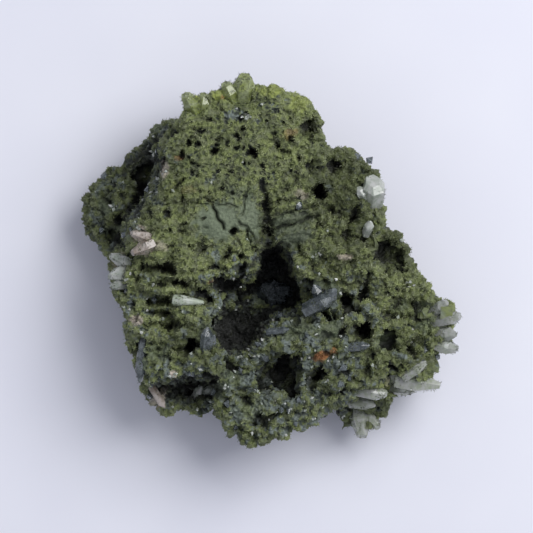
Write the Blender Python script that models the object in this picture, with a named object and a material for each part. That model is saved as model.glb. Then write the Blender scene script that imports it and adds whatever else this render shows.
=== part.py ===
"""Epidote cluster: a rough hollowed mass of green epidote, with quartz crystals set in its rim and its hollows.

Frame: metres, +Z up, the broken foot on Z = 0, the origin under the middle of the plan. +X is to the right of the plan
and +Y is to its top. The plan is drawn on a grid of small units, measured as pixels of the photograph taken from above.
"""

import math
from dataclasses import dataclass

import bmesh
import bpy
import numpy as np
from mathutils import Matrix, Vector, noise

MM = 0.001
WIDTH = 114 * MM  # left tip of the shelf to right tip of the cluster
PLAN_WIDTH = 379  # the same span on the plan, in plan units
UNIT = WIDTH / PLAN_WIDTH
PLAN_MIDDLE = Vector((269.5, 262.5))

GRID_STEP = 0.85 * MM  # spacing of the grid of points over the plan
FUSE_STEP = 0.8 * MM  # voxel that melts the columns into one body
BODY_FACES = 6050  # triangles kept in the body
LEAST_HEIGHT = 11 * MM  # no part of the upper surface is lower than this
LUMP_SIZE = 6.5 * MM  # across one rounded lump of the surface
LUMP_RISE = 2.2 * MM
GRAIN_SIZE = 2.8 * MM
GRAIN_RISE = 0.9 * MM
WALL_DRAW = 0.13  # how far the walls are drawn in at their foot, as a share of their way from the middle
WALL_LUMP = 13 * MM
SEED = 8
PATCH_CALM = 0.25  # share of the lumps left on the smooth patch
SOCKET_GAP = 0.35 * MM  # clearance between a quartz crystal and its socket

# The rim of the whole cluster, clockwise on the plan from the top left.
RIM = [
    (184, 118), (184, 108), (185, 100), (190, 95), (196, 93), (204, 95), (210, 91), (218, 88), (226, 87),
    (232, 82), (238, 79), (245, 77), (250, 80), (251, 88), (256, 86), (264, 85), (274, 86), (284, 89),
    (291, 94), (296, 91), (301, 93), (304, 98), (309, 103), (311, 112), (318, 113), (321, 121), (323, 133),
    (325, 143), (330, 147), (340, 147), (350, 150), (358, 155), (363, 159), (366, 163), (372, 165),
    (378, 171), (382, 180), (383, 190), (382, 200), (385, 210), (386, 220), (392, 228), (400, 235),
    (409, 243), (412, 252), (414, 262), (418, 270), (427, 276), (429, 283), (437, 289), (440, 297),
    (447, 305), (454, 314), (456, 321), (454, 326), (449, 330), (452, 337), (453, 343), (450, 348),
    (440, 354), (432, 360), (428, 364), (431, 371), (434, 379), (430, 388), (416, 390), (402, 397),
    (394, 402), (391, 412), (386, 419), (377, 425), (371, 433), (365, 436), (356, 436), (350, 430),
    (347, 421), (341, 411), (338, 407), (330, 413), (327, 419), (318, 425), (305, 428), (297, 432),
    (289, 431), (285, 437), (275, 442), (262, 445), (250, 448), (241, 444), (230, 441), (223, 433),
    (221, 424), (214, 417), (212, 412), (205, 413), (197, 417), (190, 416), (180, 411), (172, 418),
    (164, 416), (158, 411), (152, 406), (148, 400), (143, 394), (142, 388), (146, 383), (141, 374),
    (137, 363), (136, 351), (128, 349), (126, 342), (126, 332), (128, 325), (125, 316), (118, 310),
    (114, 303), (112, 296), (109, 286), (109, 275), (112, 266), (110, 259), (103, 254), (99, 248),
    (94, 238), (87, 233), (82, 226), (80, 215), (81, 207), (84, 200), (82, 193), (87, 187), (95, 180),
    (101, 171), (108, 167), (115, 165), (119, 157), (128, 149), (134, 141), (143, 136), (148, 131),
    (151, 123), (158, 120), (166, 119), (173, 119), (178, 121),
]


@dataclass(frozen=True)
class Terrace:
    """A mesa of the upper surface: an outline on the plan, a height and a lean."""

    outline: tuple
    height: float
    lean: tuple = (0.0, 0.0)  # rise along +X and +Y, in metres a metre
    rounding: float = 3 * MM


@dataclass(frozen=True)
class Hollow:
    """A pit of the upper surface: an outline on the plan, the height of its floor and the steepness of its walls."""

    outline: tuple
    floor: float
    steepness: float = 2.6


TERRACES = {
    "shelf": Terrace(
        ((190, 118), (173, 117), (158, 118), (149, 122), (146, 131), (134, 139), (119, 155), (107, 165),
         (99, 171), (85, 187), (79, 194), (77, 215), (80, 228), (92, 240), (98, 250), (110, 262),
         (140, 270), (180, 230), (200, 150)),
        21 * MM, (0.10, 0.05), 6 * MM,
    ),
    "plateau": Terrace(
        ((184, 118), (182, 100), (196, 91), (226, 85), (245, 75), (256, 84), (275, 84), (291, 92), (304, 96),
         (313, 110), (323, 120), (326, 142), (322, 168), (318, 192), (306, 214), (294, 232), (283, 247),
         (262, 247), (256, 262), (240, 272), (222, 281), (204, 284), (180, 276), (150, 266), (131, 256),
         (128, 246), (133, 228), (146, 217), (155, 203), (157, 182), (163, 165), (162, 150), (172, 141),
         (178, 124)),
        45 * MM, (0.02, 0.10), 2.4 * MM,
    ),
    "left_flank": Terrace(
        ((112, 252), (130, 248), (150, 254), (190, 268), (212, 284), (216, 305), (210, 330), (218, 346),
         (222, 372), (195, 374), (165, 378), (146, 386), (136, 372), (133, 354), (124, 350), (122, 330),
         (124, 318), (110, 304), (106, 286), (106, 272)),
        38 * MM, (0.34, 0.06), 4 * MM,
    ),
    "right_shoulder": Terrace(
        ((318, 140), (330, 145), (350, 148), (366, 160), (381, 171), (386, 190), (388, 220), (402, 234),
         (414, 250), (421, 270), (400, 286), (372, 290), (352, 284), (330, 290), (305, 285), (288, 262),
         (284, 246), (300, 214), (316, 186)),
        38 * MM, (-0.22, 0.04), 4 * MM,
    ),
    "right_end": Terrace(
        ((366, 288), (400, 262), (431, 274), (442, 297), (458, 314), (459, 324), (452, 331), (456, 344),
         (442, 357), (430, 364), (433, 376), (400, 380), (385, 362), (380, 330)),
        31 * MM, (-0.20, 0.02), 3.5 * MM,
    ),
    "lower_middle": Terrace(
        ((214, 340), (238, 352), (262, 336), (300, 306), (320, 284), (350, 288), (384, 310), (392, 360),
         (384, 385), (352, 400), (338, 409), (330, 415), (318, 427), (300, 431), (289, 433), (284, 440),
         (250, 451), (228, 443), (219, 424), (210, 408), (214, 370)),
        34 * MM, (0.02, 0.16), 4 * MM,
    ),
    "lower_left_rim": Terrace(
        ((140, 382), (165, 372), (222, 368), (228, 396), (216, 416), (197, 420), (186, 414), (172, 421),
         (156, 413), (144, 400), (139, 388)),
        23 * MM, (0.0, 0.1), 4 * MM,
    ),
    "lower_right_foot": Terrace(
        ((336, 404), (350, 384), (388, 362), (431, 362), (436, 380), (430, 390), (402, 399), (394, 404),
         (360, 410)),
        22 * MM, (-0.05, 0.1), 3 * MM,
    ),
    "knob": Terrace(
        ((336, 404), (342, 413), (347, 424), (354, 438), (367, 438), (379, 427), (393, 412), (396, 400),
         (370, 392)),
        15 * MM, (0.0, 0.05), 4 * MM,
    ),
}

HOLLOWS = {
    "deep_hollow": Hollow(
        ((266, 244), (282, 246), (290, 260), (300, 284), (303, 299), (294, 312), (280, 312), (268, 300),
         (256, 288), (251, 268), (258, 254)),
        12 * MM, 6.0,
    ),
    "round_hollow": Hollow(
        ((215, 318), (226, 304), (243, 308), (258, 318), (262, 332), (254, 344), (234, 348), (218, 342),
         (211, 331)),
        15 * MM, 4.0,
    ),
    "throat": Hollow(((240, 300), (262, 288), (284, 310), (276, 330), (256, 334), (244, 318)), 21 * MM, 2.4),
    "left_slot": Hollow(((190, 283), (205, 284), (219, 299), (213, 309), (200, 305)), 25 * MM, 4.0),
    "slot_under_plateau": Hollow(((210, 281), (232, 276), (248, 268), (250, 284), (240, 292), (222, 298)), 25 * MM, 2.4),
    "lower_pit": Hollow(
        ((258, 350), (284, 346), (300, 356), (304, 378), (296, 396), (276, 396), (262, 382)), 18 * MM, 2.6,
    ),
    "lower_pit_east": Hollow(((306, 366), (322, 362), (326, 376), (314, 386), (304, 382)), 20 * MM, 3.0),
    "east_pit": Hollow(((352, 326), (366, 318), (380, 332), (370, 346), (352, 346)), 19 * MM, 3.0),
    "east_cup": Hollow(((378, 330), (392, 330), (401, 344), (394, 354), (378, 350)), 20 * MM, 3.0),
    "small_shaft": Hollow(((339, 288), (352, 286), (354, 312), (341, 314)), 19 * MM, 4.0),
    "shoulder_pit": Hollow(((310, 184), (328, 180), (334, 192), (322, 203), (311, 198)), 28 * MM, 2.6),
    "shoulder_cove": Hollow(((368, 240), (394, 236), (410, 250), (412, 266), (398, 278), (376, 266)), 20 * MM, 1.8),
    "corner_pit": Hollow(((303, 122), (316, 120), (320, 136), (306, 142)), 37 * MM, 2.6),
    "lower_left_pocket": Hollow(((172, 378), (206, 376), (218, 392), (210, 406), (182, 408), (168, 396)), 12 * MM, 2.2),
    "shelf_pocket": Hollow(((126, 172), (150, 160), (164, 172), (160, 196), (140, 192)), 13 * MM, 1.6),
    "shelf_pocket_west": Hollow(((84, 214), (98, 210), (106, 224), (96, 232), (85, 226)), 13 * MM, 1.4),
    "shelf_pocket_south": Hollow(((106, 232), (132, 228), (130, 248), (110, 250)), 12 * MM, 1.6),
}


@dataclass(frozen=True)
class Rib:
    """A narrow rib between two points of the plan, or a furrow where its rise is negative."""

    start: tuple
    end: tuple
    rise: float
    half_width: float


RIBS = (
    Rib((136, 270), (176, 276), 1.6 * MM, 1.0 * MM),
    Rib((132, 284), (170, 289), 1.6 * MM, 1.0 * MM),
    Rib((140, 306), (178, 308), 1.8 * MM, 1.0 * MM),
    Rib((142, 318), (182, 320), 1.8 * MM, 1.0 * MM),
    Rib((144, 332), (178, 334), 1.6 * MM, 1.1 * MM),
    Rib((272, 208), (312, 196), 1.4 * MM, 1.0 * MM),
    Rib((272, 222), (318, 210), 1.6 * MM, 1.1 * MM),
    Rib((276, 240), (320, 226), 1.6 * MM, 1.1 * MM),
    Rib((262, 340), (300, 326), 2.0 * MM, 1.4 * MM),
    Rib((240, 352), (300, 344), 2.4 * MM, 1.5 * MM),
    Rib((306, 330), (350, 316), 2.0 * MM, 1.5 * MM),
    Rib((306, 346), (348, 352), 2.2 * MM, 1.6 * MM),
    Rib((220, 356), (236, 396), 2.2 * MM, 1.6 * MM),
    Rib((330, 262), (376, 272), 2.0 * MM, 1.8 * MM),
    Rib((150, 269), (174, 270), -3.0 * MM, 0.9 * MM),
    Rib((149, 301), (176, 301), -3.5 * MM, 0.9 * MM),
    Rib((148, 312), (174, 314), -3.0 * MM, 0.8 * MM),
    Rib((148, 324), (176, 326), -3.0 * MM, 0.9 * MM),
    Rib((262, 184), (267, 238), -4.0 * MM, 1.0 * MM),
    Rib((270, 190), (316, 178), -2.0 * MM, 1.0 * MM),
    Rib((181, 348), (201, 344), -5.0 * MM, 1.1 * MM),
    Rib((384, 366), (398, 370), -4.0 * MM, 1.2 * MM),
    Rib((175, 188), (187, 178), -3.0 * MM, 0.8 * MM),
)

PIT_DEPTH = 3.2  # radii
# Round pits of the upper surface: a point of the plan and a radius in plan units.
PITS = (
    (253, 153, 5.5), (215, 153, 4.5), (191, 145, 4.5), (201, 144, 3.5), (238, 137, 3.8), (203, 133, 3.2),
    (219, 139, 3.2), (230, 173, 3.2), (193, 173, 3.2), (278, 147, 3.6), (183, 157, 4.0), (235, 231, 4.5),
    (262, 122, 3.4), (227, 118, 3.0), (290, 168, 3.6), (246, 196, 2.8),
)

SMOOTH_PATCH = ((198, 208), (214, 200), (238, 204), (256, 212), (258, 238), (240, 243), (214, 240), (200, 226))


@dataclass(frozen=True)
class Crystal:
    """A six-sided quartz crystal. Its root lies on the surface over a point of the plan."""

    root: tuple
    bearing: float  # degrees from +X towards +Y
    pitch: float  # degrees up from the plan
    length: float  # beyond the root, to the tip
    width: float
    flatness: float = 1.0
    roll: float = 0.0
    tip: float = 0.55  # length of the pointed end, as a share of the width
    below: float = 0.0  # how far the root lies under the surface
    sunk: float = 2.2 * MM  # how far the crystal goes on behind its root
    blunt: float = 0.16  # width of the very end, as a share of the width


QUARTZ = {
    "quartz_block": (
        Crystal((372, 199), 84, 50, 7.3 * MM, 8.0 * MM, 0.9, 30, 0.2, 2.4 * MM, 3 * MM, 0.66),
        Crystal((364, 198), 120, 50, 4.6 * MM, 4.4 * MM, 0.8, 20, 0.3, 2.0 * MM, 2.2 * MM, 0.5),
    ),
    "milky_spike": (
        Crystal((180, 300), -6, 10, 7.4 * MM, 4.3 * MM, 0.85, 10, 1.5, 0.0, 1.9 * MM, 0.36),
    ),
    "quartz_right_tip": (
        Crystal((442, 320), 12, 20, 5.4 * MM, 7.0 * MM, 0.6, 12, 0.3, 2.6 * MM, 3 * MM, 0.55),
        Crystal((440, 333), -6, 38, 5.2 * MM, 5.4 * MM, 0.8, 0, 0.3, 2.8 * MM, 3 * MM, 0.4),
        Crystal((441, 345), -20, 16, 4.8 * MM, 6.6 * MM, 0.6, 25, 0.3, 2.6 * MM, 3 * MM, 0.5),
        Crystal((436, 310), 34, 40, 4.6 * MM, 5.0 * MM, 0.8, 15, 0.35, 2.2 * MM, 3 * MM, 0.4),
    ),
    "quartz_lower_right": (
        Crystal((408, 380), -12, 8, 9.8 * MM, 9.0 * MM, 0.75, 20, 0.8, 2.4 * MM, 3.4 * MM, 0.3),
        Crystal((396, 388), -8, 10, 6.4 * MM, 5.2 * MM, 0.8, 8, 0.6, 2.8 * MM, 3 * MM, 0.3),
        Crystal((412, 371), 30, 24, 5.0 * MM, 5.4 * MM, 0.7, 18, 0.5, 2.6 * MM, 3 * MM, 0.4),
        Crystal((391, 379), 20, 52, 4.4 * MM, 5.0 * MM, 0.9, 0, 0.3, 1.6 * MM, 3 * MM, 0.55),
    ),
    "quartz_lens": (
        Crystal((359, 403), -6, 12, 5.2 * MM, 6.0 * MM, 0.7, 0, 0.5, 1.8 * MM, 3 * MM, 0.45),
    ),
    "quartz_slab": (
        Crystal((368, 391), -12, 22, 5.8 * MM, 6.8 * MM, 0.75, 20, 0.45, 2.0 * MM, 3 * MM, 0.45),
    ),
    "quartz_knob_tip": (
        Crystal((361, 420), -87, 18, 5.2 * MM, 8.4 * MM, 0.7, 10, 0.5, 2.6 * MM, 2.4 * MM, 0.55),
        Crystal((371, 419), -50, 34, 4.0 * MM, 4.8 * MM, 0.8, 0, 0.5, 2.4 * MM, 2.4 * MM, 0.5),
    ),
    "quartz_lower_left": (
        Crystal((153, 389), -58, 14, 6.8 * MM, 3.0 * MM, 0.8, 15, 0.5, 0.6 * MM, 2.6 * MM),
    ),
    "quartz_left_lens": (
        Crystal((144, 344), -97, 4, 11.6 * MM, 4.2 * MM, 0.8, 12, 0.9, 2.2 * MM, 2.6 * MM),
    ),
    "quartz_left_lumps": (
        Crystal((124, 261), 156, 30, 4.2 * MM, 6.2 * MM, 0.75, 10, 0.5, 2.4 * MM, 3 * MM, 0.4),
        Crystal((121, 273), 194, 38, 3.8 * MM, 5.4 * MM, 0.8, 24, 0.5, 2.4 * MM, 3 * MM, 0.4),
        Crystal((122, 285), 176, 20, 3.2 * MM, 4.0 * MM, 0.8, 40, 0.5, 2.4 * MM, 3 * MM, 0.5),
    ),
    "quartz_pink": (
        Crystal((144, 237), 160, 30, 3.8 * MM, 5.6 * MM, 0.8, 15, 0.6, 1.4 * MM, 2.4 * MM, 0.35),
        Crystal((146, 247), 206, 22, 4.2 * MM, 6.4 * MM, 0.7, 0, 0.6, 1.4 * MM, 2.4 * MM, 0.4),
    ),
    "quartz_small_prism": (
        Crystal((367, 230), 70, 58, 4.4 * MM, 3.4 * MM, 0.9, 10, 0.5, 0.8 * MM),
    ),
    "quartz_top_left": (
        Crystal((193, 106), 124, 30, 3.6 * MM, 6.4 * MM, 0.8, 10, 0.4, 2.0 * MM, 2.4 * MM, 0.6),
        Crystal((204, 105), 80, 30, 2.8 * MM, 5.0 * MM, 0.9, 20, 0.4, 2.0 * MM, 2.4 * MM, 0.6),
    ),
    "quartz_top": (
        Crystal((231, 96), 112, 34, 3.6 * MM, 5.8 * MM, 0.9, 20, 0.4, 1.8 * MM, 2.4 * MM, 0.6),
        Crystal((244, 92), 84, 36, 4.3 * MM, 7.4 * MM, 0.9, 5, 0.35, 1.8 * MM, 2.4 * MM, 0.62),
    ),
    "hollow_crust": (
        Crystal((266, 290), 40, 62, 5.0 * MM, 5.4 * MM, 0.9, 12, 0.6, 1.0 * MM, 3 * MM),
        Crystal((275, 288), 100, 70, 4.6 * MM, 5.6 * MM, 0.9, 0, 0.6, 1.0 * MM, 3 * MM),
        Crystal((284, 291), 150, 60, 4.6 * MM, 5.4 * MM, 0.9, 20, 0.6, 1.0 * MM, 3 * MM),
        Crystal((272, 297), 80, 54, 4.6 * MM, 5.2 * MM, 0.9, 8, 0.6, 1.0 * MM, 3 * MM),
        Crystal((280, 298), 120, 64, 4.0 * MM, 5.0 * MM, 0.9, 0, 0.6, 1.0 * MM, 3 * MM),
    ),
    "quartz_centre": (
        Crystal((314, 306), 28, 30, 6.4 * MM, 6.0 * MM, 0.8, 10, 0.35, 1.4 * MM, 3 * MM, 0.45),
        Crystal((326, 300), 50, 52, 5.4 * MM, 5.2 * MM, 0.85, 0, 0.4, 1.4 * MM, 3 * MM, 0.4),
        Crystal((318, 295), 110, 48, 4.6 * MM, 4.0 * MM, 0.85, 20, 0.5, 1.4 * MM, 3 * MM),
    ),
    "quartz_west": (
        Crystal((206, 346), 84, 26, 6.4 * MM, 4.4 * MM, 0.8, 10, 0.45, 1.0 * MM, 3 * MM),
        Crystal((209, 345), 60, 44, 4.6 * MM, 4.2 * MM, 0.8, 0, 0.5, 1.0 * MM, 3 * MM),
    ),
    "quartz_east": (
        Crystal((350, 347), 6, 24, 6.2 * MM, 3.8 * MM, 0.8, 14, 0.5, 0.6 * MM, 3 * MM),
    ),
    "quartz_ridge": (
        Crystal((274, 331), 8, 18, 4.8 * MM, 2.9 * MM, 0.8, 10, 0.5, 0.2 * MM),
    ),
    "quartz_south": (
        Crystal((196, 397), 60, 40, 4.4 * MM, 3.6 * MM, 0.9, 10, 0.5, 0.6 * MM, 2.4 * MM),
        Crystal((204, 393), 20, 36, 4.6 * MM, 3.6 * MM, 0.9, 0, 0.5, 0.6 * MM, 2.4 * MM),
    ),
}

MILKY = ("milky_spike", "quartz_pink", "quartz_lower_left")


def on_plan(point):
    """Plan coordinates as metres in the part's frame."""
    return Vector(((point[0] - PLAN_MIDDLE.x) * UNIT, (PLAN_MIDDLE.y - point[1]) * UNIT))


def in_metres(outline):
    return np.array([on_plan(point) for point in outline])


def depth_inside(points, outline):
    """Distance of each point from the outline, positive inside it and negative outside."""
    start = outline
    end = np.roll(outline, -1, axis=0)
    side = end - start
    offset = points[:, None, :] - start[None]
    share = np.clip((offset * side).sum(-1) / (side * side).sum(-1), 0, 1)
    gap = np.linalg.norm(offset - share[..., None] * side, axis=-1).min(axis=1)
    rises = (start[None, :, 1] > points[:, None, 1]) != (end[None, :, 1] > points[:, None, 1])
    height = np.where(side[:, 1] == 0, 1e-12, side[:, 1])
    crossing = start[:, 0] + (points[:, None, 1] - start[:, 1]) / height * side[:, 0]
    inside = (rises & (points[:, None, 0] < crossing)).sum(axis=1) % 2 == 1
    return np.where(inside, gap, -gap)


def nearest_on(points, outline):
    """The nearest point of the outline to each point."""
    side = np.roll(outline, -1, axis=0) - outline
    offset = points[:, None, :] - outline[None]
    share = np.clip((offset * side).sum(-1) / (side * side).sum(-1), 0, 1)
    foot = outline + share[..., None] * side
    best = np.linalg.norm(points[:, None, :] - foot, axis=-1).argmin(axis=1)
    return foot[np.arange(len(points)), best]


def wobble(points, wavelength, amplitude, shift):
    """The points moved about by smooth noise, so that no edge stays straight."""
    moved = [
        noise.noise_vector(Vector((x / wavelength, y / wavelength, shift))) * amplitude
        for x, y in points
    ]
    return points + np.array(moved)[:, :2]


def upper_height(points):
    """Height of the upper surface over each point of the plan."""
    bent = wobble(wobble(points, 5 * MM, 1.0 * MM, 3.7), 14 * MM, 1.2 * MM, 1.3)
    height = np.full(len(points), -1.0)
    for terrace in TERRACES.values():
        outline = in_metres(terrace.outline)
        depth = depth_inside(bent, outline)
        middle = outline.mean(axis=0)
        level = terrace.height + (points - middle) @ np.array(terrace.lean)
        edge = np.clip(1 - depth / terrace.rounding, 0, 1)
        drop = terrace.rounding * (1 - np.sqrt(1 - edge**2)) + 5 * np.clip(-depth, 0, None)
        height = np.maximum(height, level - drop)
    height = np.maximum(height, LEAST_HEIGHT)
    for hollow in HOLLOWS.values():
        depth = depth_inside(bent, in_metres(hollow.outline))
        wall = hollow.floor + 1.2 * MM
        reach = (height - wall).clip(0) / hollow.steepness
        rise = np.where(depth > 0, (reach - depth).clip(0) * hollow.steepness, 1.0)
        height = np.where(depth > 0, np.minimum(height, wall + rise), height)
    for rib in RIBS:
        gap = gap_to_line(points, on_plan(rib.start), on_plan(rib.end))
        height = height + rib.rise * np.exp(-((gap / rib.half_width) ** 2))
    for across, down, radius in PITS:
        gap = np.linalg.norm(points - np.array(on_plan((across, down))), axis=1) / (radius * UNIT)
        height = height - PIT_DEPTH * radius * UNIT * np.clip(1.3 - gap**3, 0, 1)
    return height


def gap_to_line(points, start, end):
    """Distance of each point from the line between two points."""
    along = np.array(end - start)
    offset = points - np.array(start)
    share = np.clip(offset @ along / (along @ along), 0, 1)
    return np.linalg.norm(offset - share[:, None] * along, axis=1)


def lower_height(points, upper):
    """Height of the underside: the foot is broken off below Z = 0, and the rim is undercut."""
    depth = depth_inside(points, in_metres(RIM))
    inward = np.clip(depth / (24 * MM), 0, 1)
    eased = inward * inward * (3 - 2 * inward)
    rough = np.array([noise.noise(Vector((x, y, 9.0)) / (9 * MM)) for x, y in points])
    return 0.36 * upper * (1 - eased) + (2.6 * MM * rough - 2.2 * MM) * eased


def clear_scene():
    for thing in list(bpy.data.objects):
        bpy.data.objects.remove(thing)


def finish(name, colour, roughness, alpha=1.0):
    """A mineral's material: its colour as red, green and blue from 0 to 1."""
    material = bpy.data.materials.new(name)
    material.use_nodes = True
    shader = material.node_tree.nodes["Principled BSDF"]
    shader.inputs["Base Color"].default_value = (*colour, 1)
    shader.inputs["Roughness"].default_value = roughness
    shader.inputs["Metallic"].default_value = 0
    shader.inputs["Alpha"].default_value = alpha
    return material


def object_of(name, form, material=None):
    """An object that takes the bmesh as its mesh."""
    bmesh.ops.recalc_face_normals(form, faces=form.faces)
    mesh = bpy.data.meshes.new(name)
    form.to_mesh(mesh)
    form.free()
    thing = bpy.data.objects.new(name, mesh)
    bpy.context.scene.collection.objects.link(thing)
    if material:
        mesh.materials.append(material)
    return thing


def apply_modifiers(thing):
    """Gives the object the mesh that its modifiers make, and takes them off."""
    graph = bpy.context.evaluated_depsgraph_get()
    mesh = bpy.data.meshes.new_from_object(thing.evaluated_get(graph))
    thing.modifiers.clear()
    thing.data = mesh


def columns():
    """The body between its upper and lower surface, as a grid of columns inside the rim."""
    form = bmesh.new()
    rim = in_metres(RIM)
    low, high = rim.min(axis=0), rim.max(axis=0)
    counts = np.ceil((high - low) / GRID_STEP).astype(int)
    bmesh.ops.create_grid(form, x_segments=int(counts[0]), y_segments=int(counts[1]), size=0.5)
    for vertex in form.verts:
        vertex.co.x = low[0] + (vertex.co.x + 0.5) * (high[0] - low[0])
        vertex.co.y = low[1] + (vertex.co.y + 0.5) * (high[1] - low[1])
    middles = np.array([face.calc_center_median()[:2] for face in form.faces])
    depths = depth_inside(middles, rim)
    outside = [face for face, depth in zip(form.faces[:], depths) if depth < 0]
    bmesh.ops.delete(form, geom=outside, context="FACES")
    edge = [vertex for vertex in form.verts if vertex.is_boundary]
    for vertex, place in zip(edge, nearest_on(np.array([v.co[:2] for v in edge]), rim)):
        vertex.co.xy = place
    top = form.verts[:]
    grown = bmesh.ops.extrude_face_region(form, geom=form.faces[:])["geom"]
    bottom = [item for item in grown if isinstance(item, bmesh.types.BMVert)]
    plan = np.array([vertex.co[:2] for vertex in top])
    for vertex, height in zip(top, upper_height(plan)):
        vertex.co.z = height
    plan = np.array([vertex.co[:2] for vertex in bottom])
    for vertex, height in zip(bottom, lower_height(plan, upper_height(plan))):
        vertex.co.z = height
    return form


def lumpiness(place):
    """How far the surface stands out at a place: rounded lumps of two sizes, with creases between them."""
    coarse = noise.voronoi(place / LUMP_SIZE)[0][0]
    fine = noise.voronoi(place / GRAIN_SIZE + Vector((5, 5, 5)))[0][0]
    roll = noise.noise(place / (3 * LUMP_SIZE))
    return LUMP_RISE * (0.30 - coarse) + GRAIN_RISE * (0.3 - fine) + 0.5 * LUMP_RISE * roll


def epidote_body(material):
    """The one body of green epidote: columns melted together, made lumpy, thinned and broken off flat below."""
    body = object_of("epidote_body", columns())
    melt(body)
    form = bmesh.new()
    form.from_mesh(body.data)
    draw_in(form)
    bmesh.ops.smooth_vert(form, verts=form.verts, factor=0.5, use_axis_x=True, use_axis_y=True, use_axis_z=True)
    form.normal_update()
    plan = np.array([vertex.co[:2] for vertex in form.verts])
    on_patch = np.clip(depth_inside(plan, in_metres(SMOOTH_PATCH)) / (2 * MM), 0, 1)
    shares = 1 - (1 - PATCH_CALM) * on_patch
    moves = [vertex.normal * lumpiness(vertex.co) * share for vertex, share in zip(form.verts, shares)]
    for vertex, move in zip(form.verts, moves):
        vertex.co += move
    form.to_mesh(body.data)
    form.free()
    melt(body)
    thin = body.modifiers.new("thin", "DECIMATE")
    thin.ratio = BODY_FACES / (2 * len(body.data.polygons))
    apply_modifiers(body)
    body.data.materials.clear()
    body.data.materials.append(material)
    cut(body, ground())
    return body


def draw_in(form):
    """Draws the walls in towards their foot, by more in some places than in others, and leaves the top as it is."""
    tops = upper_height(np.array([vertex.co[:2] for vertex in form.verts]))
    for vertex, top in zip(form.verts, tops):
        under = min(max(1 - vertex.co.z / max(top, LEAST_HEIGHT), 0), 1)
        uneven = 0.6 + 0.8 * noise.noise(vertex.co / WALL_LUMP)
        vertex.co.xy *= 1 - WALL_DRAW * under * uneven


def melt(thing):
    """Makes one closed skin of the object, whatever crosses itself in it."""
    remesh = thing.modifiers.new("melt", "REMESH")
    remesh.mode = "VOXEL"
    remesh.voxel_size = FUSE_STEP
    apply_modifiers(thing)


def ground():
    """The block under Z = 0 that breaks the foot off flat."""
    form = bmesh.new()
    bmesh.ops.create_cube(form, size=2 * WIDTH)
    bmesh.ops.translate(form, verts=form.verts, vec=(0, 0, -WIDTH))
    return object_of("ground_cutter", form)


def cut(thing, cutter):
    """Takes the cutter's form out of the object and hides the cutter."""
    cutter.hide_render = True
    cutter.display_type = "WIRE"
    away = thing.modifiers.new("cut " + cutter.name, "BOOLEAN")
    away.operation = "DIFFERENCE"
    away.object = cutter
    apply_modifiers(thing)
    keep_largest(thing)


def keep_largest(thing):
    """Drops the chips that a cut leaves beside the main body."""
    form = bmesh.new()
    form.from_mesh(thing.data)
    left = set(form.verts)
    bodies = []
    while left:
        body = {left.pop()}
        edge = set(body)
        while edge:
            edge = {e.other_vert(v) for v in edge for e in v.link_edges} - body
            body |= edge
        left -= body
        bodies.append(body)
    largest = max(bodies, key=len)
    bmesh.ops.delete(form, geom=[v for v in form.verts if v not in largest], context="VERTS")
    form.to_mesh(thing.data)
    form.free()


def joined(name, things):
    """One object that the union of several leaves; the first of them keeps the result."""
    first, *others = things
    for other in others:
        union = first.modifiers.new("join", "BOOLEAN")
        union.operation = "UNION"
        union.object = other
        apply_modifiers(first)
        bpy.data.objects.remove(other)
    first.name = name
    return first


def surface_point(body, plan_point):
    """The point of the body's upper surface over a point of the plan."""
    place = on_plan(plan_point)
    hit, point, _, _ = body.ray_cast((place.x, place.y, WIDTH), (0, 0, -1))
    if not hit:
        raise ValueError(f"no surface under {plan_point}")
    return point


def crystal_form(crystal, root, growth=0.0):
    """A six-sided prism with a pointed end, larger by the growth on every side."""
    radius = crystal.width / 2 + growth
    back = crystal.sunk + growth
    shoulder = crystal.length - crystal.tip * crystal.width
    form = bmesh.new()
    ring = bmesh.ops.create_circle(form, cap_ends=True, segments=6, radius=radius)["verts"]
    bmesh.ops.translate(form, verts=ring, vec=(0, 0, -back))
    grown = bmesh.ops.extrude_face_region(form, geom=form.faces[:])["geom"]
    top = [item for item in grown if isinstance(item, bmesh.types.BMVert)]
    bmesh.ops.translate(form, verts=top, vec=(0, 0, back + shoulder + 0.5 * growth))
    lid = [item for item in grown if isinstance(item, bmesh.types.BMFace)]
    grown = bmesh.ops.extrude_face_region(form, geom=lid)["geom"]
    bmesh.ops.delete(form, geom=lid, context="FACES_ONLY")
    end = [item for item in grown if isinstance(item, bmesh.types.BMVert)]
    bmesh.ops.scale(form, verts=end, vec=(crystal.blunt, crystal.blunt, 1))
    bmesh.ops.translate(
        form, verts=end, vec=(0.12 * crystal.width, 0, crystal.length - shoulder + 0.8 * growth)
    )
    bmesh.ops.scale(form, verts=form.verts, vec=(1, crystal.flatness, 1))
    turn = (
        Matrix.Rotation(math.radians(crystal.bearing), 3, "Z")
        @ Matrix.Rotation(math.radians(90 - crystal.pitch), 3, "Y")
        @ Matrix.Rotation(math.radians(crystal.roll), 3, "Z")
    )
    bmesh.ops.rotate(form, verts=form.verts, matrix=turn)
    bmesh.ops.translate(form, verts=form.verts, vec=root - Vector((0, 0, crystal.below)))
    return form


def set_crystals(body, name, crystals, material):
    """A group of crystals joined in one, set in a socket that is cut out of the body."""
    roots = [surface_point(body, crystal.root) for crystal in crystals]
    pairs = list(zip(crystals, roots))
    group = joined(name, [object_of(name, crystal_form(crystal, root)) for crystal, root in pairs])
    group.data.materials.clear()
    group.data.materials.append(material)
    grown = [object_of(name, crystal_form(crystal, root, SOCKET_GAP)) for crystal, root in pairs]
    cut(body, joined(name + "_socket", grown))
    return group


def centre_on_origin(things):
    """Moves every mesh so that the middle of their common box is over the origin."""
    corners = np.array([vertex.co[:2] for thing in things for vertex in thing.data.vertices])
    middle = (corners.min(axis=0) + corners.max(axis=0)) / 2
    for thing in things:
        thing.data.transform(Matrix.Translation((-middle[0], -middle[1], 0)))


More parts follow.
